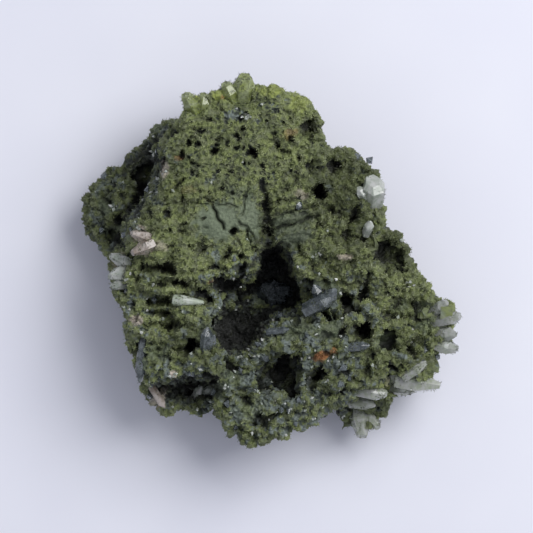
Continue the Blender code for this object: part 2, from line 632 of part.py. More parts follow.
def main():
    clear_scene()
    noise.seed_set(SEED)
    green = finish("green_epidote", (0.13, 0.18, 0.07), 0.75)
    clear = finish("clear_quartz", (0.72, 0.75, 0.72), 0.12)
    milky = finish("milky_quartz", (0.70, 0.72, 0.64), 0.3)
    body = epidote_body(green)
    pieces = [body]
    for name, crystals in QUARTZ.items():
        pieces.append(set_crystals(body, name, crystals, milky if name in MILKY else clear))
    centre_on_origin(pieces)


if __name__ == "__main__":
    main()
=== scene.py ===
"""Looks of the epidote cluster: mossy green epidote, clear and milky quartz, a pale floor and soft light.

Every place is a point of the plan, in pixels of the photograph taken from above. plan() turns it to metres,
and pixels_at() turns it back. The fine skins are grown from copies of the solids, so each stays where its
solid is.
"""

import logging
import math
from dataclasses import dataclass
from enum import Enum
from typing import Any

import bmesh
import bpy
import numpy as np
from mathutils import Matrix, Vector, noise


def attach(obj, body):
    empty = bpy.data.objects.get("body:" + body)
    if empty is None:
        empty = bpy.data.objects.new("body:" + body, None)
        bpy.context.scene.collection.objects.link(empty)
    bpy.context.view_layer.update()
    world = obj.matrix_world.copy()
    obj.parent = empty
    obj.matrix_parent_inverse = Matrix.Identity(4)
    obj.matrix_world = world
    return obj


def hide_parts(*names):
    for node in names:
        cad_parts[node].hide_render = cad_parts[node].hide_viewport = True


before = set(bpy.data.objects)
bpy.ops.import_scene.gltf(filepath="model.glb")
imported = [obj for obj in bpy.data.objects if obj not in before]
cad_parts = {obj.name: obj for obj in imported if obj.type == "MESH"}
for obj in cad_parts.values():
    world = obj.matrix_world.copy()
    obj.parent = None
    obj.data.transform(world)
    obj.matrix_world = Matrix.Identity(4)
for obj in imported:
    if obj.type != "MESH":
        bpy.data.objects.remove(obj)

LOG = logging.getLogger("epidote_cluster")

MM = 0.001
SPECIMEN_WIDTH = 114 * MM  # left tip of the shelf to right tip of the cluster
PIXEL = SPECIMEN_WIDTH / 379  # the same span in the photograph
PLAN_MIDDLE = (271.52, 261.3)  # the pixel over the frame's origin
IMAGE_SIDE = 533
SEED = 8

# Settings that many nodes share.
MIX = {"data_type": "RGBA", "clamp_factor": True}
MULTIPLY = {"operation": "MULTIPLY"}
SCALE = {"operation": "SCALE"}
FLOAT = {"data_type": "FLOAT"}
VECTOR = {"data_type": "FLOAT_VECTOR"}


class Layer(Enum):
    """What is painted on the skin of the body, point by point, from 0 to 1."""

    RELIEF = "relief"  # fine ridges against fine pits; the colours drawn from it are partly painted shade in the pits and painted light on the ridges
    HOLLOW = "hollow"  # deep in hollows, pits, furrows and crevices: painted shade over rock that is dark there too
    STONE = "stone"  # smooth grey-green sheet with no moss
    GLOOM = "gloom"  # darker, deeper green: partly the rock's own, partly painted shade
    GLOW = "glow"  # see-through rims: their own yellow-green, painted bright with light shining through
    RUST = "rust"  # orange iron stain
    BLUSH = "blush"  # pinkish white quartz showing through
    BARE = "bare"  # grey quartz with no moss on it
    COAT = "coat"  # how thick the moss stands
    DRUSE = "druse"  # where tiny clear crystals sit
    GLINT = "glint"  # where small white crystals sit close together


@dataclass(frozen=True)
class Patch:
    """An oval of the plan that a layer is painted on.

    Args:
        centre: its middle, in pixels of the photograph.
        reach: half its width and half its height, in the same pixels.
        turn: degrees from +X towards +Y.
        strength: the value at its middle, from 0 to 1.
    """

    centre: tuple[float, float]
    reach: tuple[float, float]
    turn: float = 0.0
    strength: float = 1.0


# Where the layers lie. What each of them means is said in Layer.
STONE_PATCHES = (
    Patch((219, 222), (23, 20), 10, 1.0),
    Patch((250, 218), (10, 24), 8, 0.9),
    Patch((240, 196), (18, 8), 20, 0.35),
    Patch((292, 222), (22, 12), 14, 0.6),
    Patch((296, 238), (20, 7), 20, 0.75),
    Patch((325, 290), (16, 9), -10, 0.6),
    Patch((264, 298), (9, 8), 0, 0.8),
    Patch((205, 334), (7, 12), 0, 0.6),
    Patch((296, 330), (18, 8), 20, 0.55),
    Patch((330, 330), (18, 8), 10, 0.5),
    Patch((216, 388), (14, 10), 0, 0.5),
    Patch((232, 374), (12, 10), 0, 0.4),
    Patch((250, 408), (18, 12), 0, 0.3),
    Patch((160, 352), (12, 10), 0, 0.4),
    Patch((141, 362), (5, 20), 0, 0.9),
    Patch((104, 205), (8, 12), 0, 0.6),
    Patch((112, 232), (10, 8), 0, 0.5),
    Patch((156, 128), (7, 6), 0, 0.5),
    Patch((385, 340), (12, 10), 20, 0.6),
    Patch((425, 318), (12, 16), 30, 0.5),
    Patch((400, 305), (10, 6), 20, 0.4),
    Patch((316, 255), (6, 6), 0, 0.5),
)
# Painted shade with a deeper green, on the low shelf, the right side and the lower parts.
DEEP_GREEN_AND_SHADE_PATCHES = (
    Patch((118, 190), (52, 78), -40, 0.7),
    Patch((348, 185), (40, 46), 0, 0.95),
    Patch((396, 252), (26, 24), 0, 0.95),
    Patch((340, 250), (30, 26), 0, 0.45),
    Patch((312, 130), (12, 12), 0, 0.8),
    Patch((190, 392), (38, 20), 0, 0.85),
    Patch((415, 330), (30, 40), 0, 0.35),
    Patch((365, 412), (30, 22), 0, 0.6),
    Patch((300, 380), (70, 50), 0, 0.5),
    Patch((330, 300), (50, 40), 0, 0.4),
    Patch((236, 330), (30, 24), 0, 0.8),
    Patch((250, 440), (36, 10), 0, 0.5),
    Patch((215, 345), (60, 26), 0, 0.6),
    Patch((350, 360), (46, 26), 0, 0.5),
)
# Painted light shining through the yellow-green see-through rims, most of it along the top edge.
LIT_YELLOW_GREEN_PATCHES = (
    Patch((192, 99), (10, 7), 0, 0.9),
    Patch((230, 92), (16, 10), 20, 0.8),
    Patch((245, 84), (9, 8), 0, 0.9),
    Patch((270, 92), (14, 6), 0, 0.6),
    Patch((186, 190), (26, 10), 10, 0.12),
    Patch((300, 104), (10, 12), -40, 0.35),
    Patch((394, 386), (14, 6), 0, 0.5),
    Patch((222, 262), (24, 12), 20, 0.1),
)
RUST_PATCHES = (
    Patch((320.5, 355.5), (9.5, 4.6), 12, 1.0),
    Patch((333, 350), (4, 2.6), 30, 0.9),
    Patch((290, 135), (8, 5), 20, 0.3),
    Patch((180, 159), (5, 2.4), 0, 0.6),
    Patch((226, 98), (5, 3), 0, 0.5),
    Patch((190, 190), (8, 4), 0, 0.15),
    Patch((212, 282), (4, 2), 0, 0.5),
    Patch((247, 94), (4, 3), 0, 0.4),
)
BLUSH_PATCHES = (
    Patch((139, 234), (8, 8), 0, 0.9),
    Patch((148, 248), (10, 6), 20, 0.9),
    Patch((162, 246), (8, 5), 0, 0.4),
    Patch((166, 169), (4, 10), 0, 0.8),
    Patch((120, 264), (7, 12), 0, 0.7),
    Patch((136, 320), (7, 5), 0, 0.8),
    Patch((301, 195), (8, 4), -20, 0.5),
    Patch((344, 257), (8, 3), 0, 0.7),
    Patch((247, 98), (5, 3), 0, 0.6),
    Patch((158, 398), (7, 13), -30, 0.6),
    Patch((400, 384), (16, 8), 0, 0.4),
    Patch((174, 374), (4, 4), 0, 0.9),
)

GLINT_PATCHES = (
    Patch((247, 117), (4, 4), 0, 1.0),
    Patch((229, 185), (2, 2), 0, 0.8),
    Patch((374, 364), (3, 3), 0, 1.0),
    Patch((408, 284), (3.5, 4), 0, 1.0),
    Patch((197, 390), (3.5, 5), 0, 0.9),
    Patch((317, 255), (3, 3), 0, 0.8),
    Patch((399, 238), (2, 2), 0, 0.8),
    Patch((139, 230), (3, 5), 0, 1.0),
    Patch((127, 277), (3, 6), 30, 1.0),
    Patch((114, 205), (2, 3), 0, 0.7),
    Patch((345, 318), (3, 2), 0, 0.7),
    Patch((174, 373), (3, 3), 0, 0.8),
)
# Where moss has grown over the crystals, whatever share of them it covers elsewhere.
MOSS_PATCHES = (
    Patch((179, 307), (9, 2.4), 6, 0.9),
    Patch((429, 370), (9, 6), -30, 0.9),
    Patch((396, 384), (14, 3), 12, 0.7),
    Patch((358, 413), (16, 7), 0, 0.9),
    Patch((128, 270), (5, 15), 0, 0.8),
    Patch((141, 241), (9, 4), 10, 0.8),
    Patch((240, 92), (15, 5), 0, 0.9),
    Patch((198, 106), (13, 4), 0, 0.9),
    Patch((364, 203), (5, 9), 0, 0.8),
    Patch((386, 196), (3, 9), 0, 0.8),
    Patch((432, 330), (6, 24), 10, 0.8),
)

# Where the rock is hardly broken: the sponge of the plateau and the smooth sheets.
CALM_PATCHES = (
    Patch((240, 125), (78, 46), 8, 0.78),
    Patch((222, 180), (66, 50), 0, 0.82),
    Patch((226, 222), (34, 26), 0, 1.0),
    Patch((292, 222), (26, 22), 14, 0.9),
    Patch((262, 160), (46, 40), 0, 0.7),
    Patch((165, 200), (12, 50), 8, 0.6),
    Patch((196, 248), (36, 18), 10, 0.6),
    Patch((270, 280), (26, 44), 0, 0.6),
    Patch((236, 330), (26, 22), 0, 0.6),
)
# Where moss stands only on the ridges and the dark rock shows between them.
SPARSE_PATCHES = (
    Patch((288, 382), (92, 60), 10, 1.0),
    Patch((330, 305), (62, 44), 0, 0.85),
    Patch((412, 338), (36, 46), 0, 0.55),
    Patch((156, 318), (46, 52), 0, 0.6),
    Patch((115, 190), (52, 78), -40, 0.75),
    Patch((350, 192), (42, 50), 0, 0.5),
    Patch((182, 386), (44, 32), 0, 0.95),
    Patch((250, 300), (62, 62), 0, 0.85),
    Patch((240, 112), (60, 26), 6, 0.25),
)
# Where long parallel ribs stand up between the lumps.
RIB_PATCHES = (
    Patch((158, 285), (30, 24), 0, 0.9),
    Patch((158, 325), (30, 22), 6, 0.8),
    Patch((292, 218), (28, 24), 0, 0.5),
    Patch((330, 385), (40, 16), -10, 0.4),
    Patch((215, 262), (34, 14), -20, 0.5),
)
# Where the rock is full of small holes side by side.
SPONGE_PATCHES = (
    Patch((238, 140), (66, 42), 6, 1.0),
    Patch((205, 180), (38, 24), 0, 0.7),
    Patch((272, 172), (34, 26), 0, 0.7),
)

# Cavities between the lumps. Their strength is how deep they are, in millimetres.
CAVITY_PATCHES = (
    Patch((191, 347), (12, 5), 20, 3.2),
    Patch((286, 374), (15, 17), -20, 3.4),
    Patch((266, 378), (8, 14), 0, 2.4),
    Patch((312, 377), (8, 7), 0, 3.0),
    Patch((346, 304), (6, 12), 10, 3.0),
    Patch((364, 330), (12, 7), 20, 3.0),
    Patch((388, 341), (9, 8), 0, 2.6),
    Patch((242, 268), (9, 5), 20, 3.2),
    Patch((226, 284), (18, 7), -14, 3.4),
    Patch((182, 284), (11, 5), -20, 2.6),
    Patch((142, 163), (20, 21), 0, 3.4),
    Patch((106, 178), (9, 7), 30, 1.6),
    Patch((384, 252), (15, 11), -30, 2.6),
    Patch((334, 166), (8, 6), 0, 2.6),
    Patch((319, 193), (8, 7), 0, 3.0),
    Patch((352, 223), (7, 5), 20, 2.4),
    Patch((340, 212), (6, 8), 0, 2.0),
    Patch((312, 128), (9, 6), 0, 2.4),
    Patch((240, 392), (12, 7), 20, 2.4),
    Patch((322, 398), (12, 7), 20, 2.6),
    Patch((342, 372), (9, 6), 0, 2.4),
    Patch((396, 302), (9, 5), 20, 2.0),
    Patch((412, 352), (8, 6), 0, 2.0),
    Patch((222, 362), (8, 6), 20, 2.4),
    Patch((312, 268), (7, 9), -20, 2.6),
    Patch((330, 316), (12, 6), 10, 2.2),
    Patch((160, 301), (12, 3.4), 4, 2.6),
    Patch((160, 313), (12, 3.0), 0, 2.4),
    Patch((160, 325), (13, 3.0), -4, 2.4),
    Patch((162, 270), (11, 3.6), -10, 2.4),
    Patch((176, 362), (9, 5), 0, 2.0),
)
# Where the hollows are painted darkest: painted shade over dark rock.
DARK_AND_SHADE_PATCHES = (
    Patch((240, 329), (28, 22), 0, 0.95),
    Patch((275, 276), (19, 38), 14, 0.93),
    Patch((294, 226), (24, 16), 14, 0.32),
    Patch((356, 240), (20, 10), 0, 0.35),
    Patch((226, 286), (20, 9), -14, 0.75),
    Patch((286, 374), (15, 18), -20, 0.7),
    Patch((268, 380), (8, 14), 0, 0.55),
    Patch((192, 390), (26, 13), 0, 0.75),
    Patch((142, 164), (20, 22), 0, 0.85),
    Patch((191, 347), (12, 5), 20, 0.75),
    Patch((312, 377), (8, 7), 0, 0.7),
    Patch((346, 304), (6, 12), 10, 0.7),
    Patch((362, 330), (13, 8), 20, 0.6),
    Patch((312, 130), (9, 7), 0, 0.6),
    Patch((319, 193), (8, 7), 0, 0.7),
    Patch((242, 268), (9, 5), 20, 0.75),
    Patch((290, 250), (22, 9), 30, 0.4),
    Patch((384, 254), (14, 9), -30, 0.5),
    Patch((304, 318), (18, 8), 10, 0.45),
)

# Round pits of the plateau and its neighbours: the pixel at the middle, and the radius in pixels.
PITS = (
    (253, 153, 5.6), (215, 153, 4.4), (190, 145, 4.2), (200, 145, 3.2), (238, 137, 3.4),
    (202, 133, 3.0), (219, 139, 2.6), (231, 172, 2.4), (193, 173, 2.4), (278, 147, 3.4),
    (183, 155, 4.2), (235, 231, 5.0), (262, 167, 2.2), (218, 146, 2.4), (226, 147, 2.4),
    (236, 148, 2.6), (243, 150, 2.2), (283, 153, 3.0), (210, 121, 2.6), (241, 121, 2.6),
    (248, 117, 2.4), (266, 122, 2.4), (291, 142, 2.8), (274, 134, 2.0), (247, 196, 2.0),
    (222, 190, 2.6), (230, 194, 2.2), (300, 160, 3.0), (193, 163, 2.2), (204, 218, 1.6),
    (170, 230, 2.4), (184, 224, 2.2), (168, 214, 3.2), (255, 250, 2.6), (190, 245, 2.6),
    (206, 252, 2.4), (312, 133, 5.0), (228, 252, 2.6), (240, 258, 2.4), (318, 192, 6.0),
    (336, 164, 4.0), (176, 282, 4.4), (187, 285, 4.4), (315, 376, 5.5), (347, 300, 6.0),
    (362, 330, 6.5), (226, 270, 3.6), (242, 268, 5.0),
)
PIT_DEPTH = 2.4  # radii

# Narrow furrows: both ends in pixels, half the width and the depth in millimetres.
FURROWS = (
    ((207, 197), (225, 228), 0.45, 1.6),
    ((262, 184), (266, 206), 0.9, 2.4),
    ((266, 206), (268, 240), 1.6, 3.2),
    ((174, 189), (187, 180), 0.5, 2.0),
    ((240, 222), (256, 238), 0.4, 1.0),
    ((248, 190), (243, 214), 0.35, 0.9),
    ((152, 267), (174, 271), 0.6, 2.4),
    ((150, 301), (177, 300), 0.7, 2.6),
    ((148, 312), (174, 314), 0.6, 2.2),
    ((148, 324), (176, 326), 0.6, 2.2),
    ((181, 348), (201, 344), 0.7, 3.0),
    ((383, 363), (399, 371), 0.5, 2.6),
    ((273, 204), (312, 196), 0.5, 1.2),
    ((272, 216), (318, 206), 0.5, 1.4),
    ((274, 230), (318, 216), 0.6, 1.6),
    ((196, 203), (236, 207), 0.3, 0.7),
    ((160, 205), (195, 203), 0.5, 0.8),
)


def srgb(code: str) -> tuple[float, float, float, float]:
    """Turns an sRGB hex colour into the linear one that a shader takes.

    Args:
        code: six hex digits.

    Returns:
        Red, green, blue and an alpha of 1.
    """
    shares = [int(code[place : place + 2], 16) / 255 for place in (0, 2, 4)]
    linear = [s / 12.92 if s <= 0.04045 else ((s + 0.055) / 1.055) ** 2.4 for s in shares]
    return (linear[0], linear[1], linear[2], 1.0)


def plan(across: float, down: float, height: float = 0.0) -> Vector:
    """Gives the place in the frame of a pixel of the photograph, at a height."""
    return Vector(((across - PLAN_MIDDLE[0]) * PIXEL, (PLAN_MIDDLE[1] - down) * PIXEL, height))


def add_node(
    tree: bpy.types.NodeTree, kind: str, settings: dict[str, Any] | None = None, **links: Any
) -> bpy.types.Node:
    """Adds a node to a tree.

    Args:
        tree: the shader or geometry tree.
        kind: the node's type.
        settings: properties of the node itself.
        links: for each input, by name or by number after an underscore, what feeds it: a value, an output,
            or a node, whose first output in use is then taken.

    Returns:
        The node.
    """
    node = tree.nodes.new(kind)
    for name, value in (settings or {}).items():
        setattr(node, name, value)
    for name, value in links.items():
        socket = node.inputs[int(name[1:])] if name[1:].isdigit() else node.inputs[name.replace("_", " ")]
        if isinstance(value, bpy.types.Node):
            value = next(output for output in value.outputs if output.enabled)
        if isinstance(value, bpy.types.NodeSocket):
            tree.links.new(value, socket)
        else:
            socket.default_value = value
    return node


def new_material(name: str) -> tuple[bpy.types.Material, bpy.types.NodeTree, Any]:
    """Makes an empty material.

    Args:
        name: the material's name.

    Returns:
        The material, its tree and its output node.
    """
    material = bpy.data.materials.new(name)
    material.use_nodes = True
    tree = material.node_tree
    tree.nodes.clear()
    return material, tree, tree.nodes.new("ShaderNodeOutputMaterial")


@dataclass(frozen=True)
class MassiveEpidote:
    """Massive epidote, grown dense, then broken and weathered, with grey quartz between its grains.

    The eye gets a dull, granular surface: near black in the pits, olive green on the ridges, grey where bare.
    The near black and the olive are partly the rock's own and partly painted shade and light that follow the
    relief.
    """

    name: str = "massive_epidote"
    # From pit to crest the colours follow the relief: partly the rock's own, partly painted shade in the pits
    # and painted light on the ridges.
    pit: str = "1B2018"
    shade: str = "3C452F"
    green: str = "606A40"
    crest: str = "7C8650"
    dust: str = "6A6E5A"
    bare_dark: str = "262C28"
    bare_middle: str = "48514B"
    bare_pale: str = "77817F"
    stone_dark: str = "535D48"
    stone_pale: str = "7E8A6E"
    # Painted shade with a deeper green.
    gloom: str = "2E3519"
    # Yellow-green of the see-through rims, painted bright with light shining through.
    glow: str = "A6B154"
    rust: str = "A06B3E"
    blush: str = "C6B9AC"
    # Near black of the hollows: painted shade over dark rock.
    hollow: str = "0E100C"
    roughness: float = 0.68
    refraction: float = 1.6  # a little under a whole crystal's, for the weathered surface
    grain: float = 0.8 * MM  # real grains are 0.1 to 0.5 mm, so these are drawn coarser, to show
    spot: float = 1.8 * MM
    cloud: float = 7 * MM
    grain_lift: float = 0.8  # how much the grain counts beside the relief
    spot_most: float = 0.6
    cloud_most: float = 0.45
    bare_most: float = 0.92
    deep_green_and_shade_most: float = 0.62
    bump: tuple[float, float] = (0.7, 0.25 * MM)  # strength and height

    def make(self) -> bpy.types.Material:
        """Builds the material from the painted layers and fine noise.

        Returns:
            The material.
        """
        material, tree, out = new_material(self.name)
        layers = {}
        for layer in Layer:
            attribute = add_node(tree, "ShaderNodeAttribute", {"attribute_name": layer.value})
            layers[layer] = attribute.outputs["Fac"]
        place = add_node(tree, "ShaderNodeTexCoord").outputs["Object"]
        fine = add_node(
            tree, "ShaderNodeTexNoise", None, Vector=place, Scale=1 / self.grain, Detail=4.0, Roughness=0.7
        )
        broad = add_node(
            tree, "ShaderNodeTexNoise", None, Vector=place, Scale=1 / self.cloud, Detail=3.0, Roughness=0.6
        )
        spotty = add_node(
            tree, "ShaderNodeTexNoise", None, Vector=place, Scale=1 / self.spot, Detail=3.0, Roughness=0.6
        )
        relief = layers[Layer.RELIEF]
        lift = add_node(
            tree, "ShaderNodeMath", {"operation": "MULTIPLY_ADD"}, _0=fine, _1=self.grain_lift, _2=relief
        )
        # The next colour takes over while the lift goes from the first value to the second. The lift follows
        # the relief, so these steps are partly the rock's own colours and partly painted shade in the pits
        # and painted light on the ridges.
        colour = srgb(self.pit)
        for low, high, code in ((0.3, 0.62, self.shade), (0.5, 0.95, self.green), (0.85, 1.3, self.crest)):
            share = add_node(tree, "ShaderNodeMapRange", None, _0=lift, _1=low, _2=high)
            colour = add_node(tree, "ShaderNodeMix", MIX, _0=share, _6=colour, _7=srgb(code))
        share = add_node(tree, "ShaderNodeMapRange", None, _0=spotty, _1=0.46, _2=0.6, _4=self.spot_most)
        colour = add_node(tree, "ShaderNodeMix", MIX, _0=share, _6=colour, _7=srgb(self.dust))
        share = add_node(tree, "ShaderNodeMapRange", None, _0=broad, _1=0.56, _2=0.36, _4=self.cloud_most)
        colour = add_node(tree, "ShaderNodeMix", MIX, _0=share, _6=colour, _7=srgb(self.shade))
        # Bare rock and smooth sheet, each between two colours by the grain.
        share = add_node(tree, "ShaderNodeMapRange", None, _0=fine, _1=0.3, _2=0.72)
        rock = add_node(
            tree, "ShaderNodeMix", MIX, _0=share, _6=srgb(self.bare_dark), _7=srgb(self.bare_middle)
        )
        stone = add_node(
            tree, "ShaderNodeMix", MIX, _0=share, _6=srgb(self.stone_dark), _7=srgb(self.stone_pale)
        )
        # Bare rock turns pale where the lift is high: partly painted light on the ridges.
        share = add_node(tree, "ShaderNodeMapRange", None, _0=lift, _1=0.7, _2=1.15)
        rock = add_node(tree, "ShaderNodeMix", MIX, _0=share, _6=rock, _7=srgb(self.bare_pale))
        cloudy = add_node(tree, "ShaderNodeMapRange", None, _0=broad, _1=0.25, _2=0.5)
        # Over it go the layers: the deeper green is partly painted shade, the rims partly painted light
        # shining through, and the hollows painted shade over dark rock.
        for layer, over, most in (
            (Layer.BARE, rock, self.bare_most),
            (Layer.STONE, stone, 1.0),
            (Layer.GLOOM, srgb(self.gloom), self.deep_green_and_shade_most),
            (Layer.GLOW, srgb(self.glow), cloudy),
            (Layer.BLUSH, srgb(self.blush), cloudy),
            (Layer.RUST, srgb(self.rust), cloudy),
            (Layer.HOLLOW, srgb(self.hollow), 1.0),
        ):
            share = add_node(tree, "ShaderNodeMath", MULTIPLY, _0=layers[layer], _1=most)
            colour = add_node(tree, "ShaderNodeMix", MIX, _0=share, _6=colour, _7=over)
        strength, height = self.bump
        bump = add_node(tree, "ShaderNodeBump", None, Strength=strength, Distance=height, Height=fine)
        shader = add_node(
            tree,
            "ShaderNodeBsdfPrincipled",
            None,
            Base_Color=colour,
            Roughness=self.roughness,
            Normal=bump,
            IOR=self.refraction,
        )
        tree.links.new(shader.outputs[0], out.inputs["Surface"])
        return material


@dataclass(frozen=True)
class EpidoteNeedles:
    """Epidote needles, grown loose with flat glossy faces, from olive at the root of the mat to lime on top,
    partly their own colours and partly painted shade in the pits and painted light on the ridges.

    The eye gets a fine, mossy mat that glitters faintly. The real needles are mostly under 0.1 mm thick, and
    the coats draw them 0.12 mm thick and more, so that they show.
    """

    name: str = "epidote_needles"
    dark: str = "2A331C"
    middle: str = "5A663A"
    bright: str = "BAC486"
    dust: str = "84866C"
    stone: str = "76816A"
    bare: str = "6E7A74"
    # Painted shade with a deeper green.
    gloom: str = "3D4420"
    # Yellow-green of the see-through rims, painted bright with light shining through.
    glow: str = "A5AF62"
    rust: str = "AC7442"
    blush: str = "CDC2B4"
    # Near black of the hollows: painted shade over dark rock.
    hollow: str = "171A12"
    roughness: float = 0.45
    refraction: float = 1.7
    spot: float = 1.8 * MM
    cloud: float = 7 * MM
    own_lift: float = 0.6  # how much each needle's own shade counts
    relief_lift: float = 0.55  # how much the relief under it counts: painted shade on needles in the pits, painted light on those on the ridges
    spot_most: float = 0.55
    cloud_most: float = 0.5

    def make(self) -> bpy.types.Material:
        """Builds the material from each needle's own shade and the layers under it.

        Returns:
            The material.
        """
        material, tree, out = new_material(self.name)
        shade = add_node(tree, "ShaderNodeAttribute", {"attribute_name": "shade"}).outputs["Fac"]
        relief = add_node(tree, "ShaderNodeAttribute", {"attribute_name": Layer.RELIEF.value}).outputs["Fac"]
        low = add_node(tree, "ShaderNodeMath", MULTIPLY, _0=relief, _1=self.relief_lift)
        lift = add_node(
            tree, "ShaderNodeMath", {"operation": "MULTIPLY_ADD"}, _0=shade, _1=self.own_lift, _2=low
        )
        # The lift adds the relief under each needle to its own random shade, which paints shade on needles in
        # the pits and light on those on the ridges.
        share = add_node(tree, "ShaderNodeMapRange", None, _0=lift, _1=0.2, _2=0.6)
        colour = add_node(tree, "ShaderNodeMix", MIX, _0=share, _6=srgb(self.dark), _7=srgb(self.middle))
        share = add_node(tree, "ShaderNodeMapRange", None, _0=lift, _1=0.55, _2=1.05)
        colour = add_node(tree, "ShaderNodeMix", MIX, _0=share, _6=colour, _7=srgb(self.bright))
        place = add_node(tree, "ShaderNodeTexCoord").outputs["Object"]
        broad = add_node(
            tree, "ShaderNodeTexNoise", None, Vector=place, Scale=1 / self.cloud, Detail=3.0, Roughness=0.6
        )
        spotty = add_node(
            tree, "ShaderNodeTexNoise", None, Vector=place, Scale=1 / self.spot, Detail=3.0, Roughness=0.6
        )
        share = add_node(tree, "ShaderNodeMapRange", None, _0=spotty, _1=0.46, _2=0.6, _4=self.spot_most)
        colour = add_node(tree, "ShaderNodeMix", MIX, _0=share, _6=colour, _7=srgb(self.dust))
        share = add_node(tree, "ShaderNodeMapRange", None, _0=broad, _1=0.56, _2=0.36, _4=self.cloud_most)
        colour = add_node(tree, "ShaderNodeMix", MIX, _0=share, _6=colour, _7=srgb(self.dark))
        # Over it go the layers: the deeper green is partly painted shade, the rims partly painted light
        # shining through, and the hollows painted shade over dark rock.
        for layer, code, most in (
            (Layer.STONE, self.stone, 0.7),
            (Layer.BARE, self.bare, 0.4),
            (Layer.GLOOM, self.gloom, 0.66),
            (Layer.GLOW, self.glow, 0.6),
            (Layer.BLUSH, self.blush, 0.8),
            (Layer.RUST, self.rust, 1.0),
            (Layer.HOLLOW, self.hollow, 0.92),
        ):
            painted_layer = add_node(tree, "ShaderNodeAttribute", {"attribute_name": layer.value})
            share = add_node(tree, "ShaderNodeMath", MULTIPLY, _0=painted_layer.outputs["Fac"], _1=most)
            colour = add_node(tree, "ShaderNodeMix", MIX, _0=share, _6=colour, _7=srgb(code))
        shader = add_node(
            tree,
            "ShaderNodeBsdfPrincipled",
            None,
            Base_Color=colour,
            Roughness=self.roughness,
            IOR=self.refraction,
        )
        tree.links.new(shader.outputs[0], out.inputs["Surface"])
        return material


@dataclass(frozen=True)
class Quartz:
    """Quartz crystal, as grown.

    The eye gets glossy growth faces with faint steps, and a see-through inside with pale, cloudy veils.
    """

    name: str
    tint: str
    absorption: str
    transmission: float
    roughness: float
    density: float  # of the absorption, per metre
    white: str = "F4F5F1"
    refraction: float = 1.54
    veil: float = 2.2 * MM
    step: float = 1.2 * MM  # real steps are finer, so these are drawn coarser, to show
    bump: tuple[float, float] = (0.25, 0.12 * MM)  # strength and height of the steps

    def make(self) -> bpy.types.Material:
        """Builds the material: glossy growth faces over a see-through or milky inside.

        Returns:
            The material.
        """
        material, tree, out = new_material(self.name)
        place = add_node(tree, "ShaderNodeTexCoord").outputs["Object"]
        veil = add_node(
            tree, "ShaderNodeTexNoise", None, Vector=place, Scale=1 / self.veil, Detail=4.0, Roughness=0.65
        )
        steps = add_node(tree, "ShaderNodeTexNoise", None, Vector=place, Scale=1 / self.step, Detail=2.0)
        share = add_node(tree, "ShaderNodeMapRange", None, _0=veil, _1=0.4, _2=0.62)
        colour = add_node(tree, "ShaderNodeMix", MIX, _0=share, _6=srgb(self.tint), _7=srgb(self.white))
        strength, height = self.bump
        bump = add_node(tree, "ShaderNodeBump", None, Strength=strength, Distance=height, Height=steps)
        shader = add_node(
            tree,
            "ShaderNodeBsdfPrincipled",
            None,
            Base_Color=colour,
            Roughness=self.roughness,
            IOR=self.refraction,
            Transmission_Weight=self.transmission,
            Normal=bump,
        )
        inside = add_node(
            tree, "ShaderNodeVolumeAbsorption", None, Color=srgb(self.absorption), Density=self.density
        )
        tree.links.new(shader.outputs[0], out.inputs["Surface"])
        tree.links.new(inside.outputs[0], out.inputs["Volume"])
        return material


# Clear and pale ones let the rock show through. Frosted and milky ones are full of tiny bubbles, so they look
# white. Green needles, smoke or iron inside them give the rest their colours.
CLEAR_QUARTZ = Quartz("clear_quartz", "D2D9CB", "C4CEBC", 0.68, 0.06, 25.0)
PALE_QUARTZ = Quartz("pale_green_quartz", "D0D9C0", "C2CDB4", 0.6, 0.06, 25.0)
FROSTED_QUARTZ = Quartz("frosted_quartz", "C9D2C4", "C8D2C2", 0.5, 0.1, 20.0)
GREEN_QUARTZ = Quartz("quartz_over_green_needles", "A3B060", "9CAC62", 0.55, 0.16, 70.0, "CDD8A0")
SMOKY_QUARTZ = Quartz("smoky_quartz", "656E72", "8E98A2", 0.6, 0.16, 90.0, "A2ABAE")
MILKY_QUARTZ = Quartz("milky_quartz", "BFCBB4", "C9D2BE", 0.35, 0.22, 40.0, "E2E8DC")
PINK_QUARTZ = Quartz("pinkish_quartz", "A99A8C", "C8B6A6", 0.35, 0.3, 40.0, "DDD3CA")


@dataclass(frozen=True)
class PaleFloor:
    """Painted board, rolled on: the eye gets an even, matt white that is a trace cooler than the light."""

    name: str = "pale_board"
    colour: str = "E9EAF4"
    pale: str = "EFF0F8"
    cloud: float = 60 * MM
    roughness: float = 0.7

    def make(self) -> bpy.types.Material:
        """Builds the material."""
        material, tree, out = new_material(self.name)
        place = add_node(tree, "ShaderNodeTexCoord").outputs["Object"]
        cloud = add_node(
            tree, "ShaderNodeTexNoise", None, Vector=place, Scale=1 / self.cloud, Detail=2.0, Roughness=0.6
        )
        share = add_node(tree, "ShaderNodeMapRange", None, _0=cloud, _1=0.3, _2=0.8)
        colour = add_node(tree, "ShaderNodeMix", MIX, _0=share, _6=srgb(self.colour), _7=srgb(self.pale))
        shader = add_node(tree, "ShaderNodeBsdfPrincipled", None, Base_Color=colour, Roughness=self.roughness)
        tree.links.new(shader.outputs[0], out.inputs["Surface"])
        return material


def smooth_step(low: float, high: float, value: float) -> float:
    """Goes smoothly from 0 at low to 1 at high."""
    share = min(max((value - low) / (high - low), 0.0), 1.0)
    return share * share * (3 - 2 * share)


def put_in_scene(
    name: str, mesh: bpy.types.Mesh, material: bpy.types.Material | None = None
) -> bpy.types.Object:
    """Makes an object at the origin from a mesh.

    Args:
        name: the object's name.
        mesh: its mesh.
        material: its only material, or none yet.

    Returns:
        The object, in the scene.
    """
    thing = bpy.data.objects.new(name, mesh)
    bpy.context.scene.collection.objects.link(thing)
    if material:
        mesh.materials.clear()
        mesh.materials.append(material)
    return thing


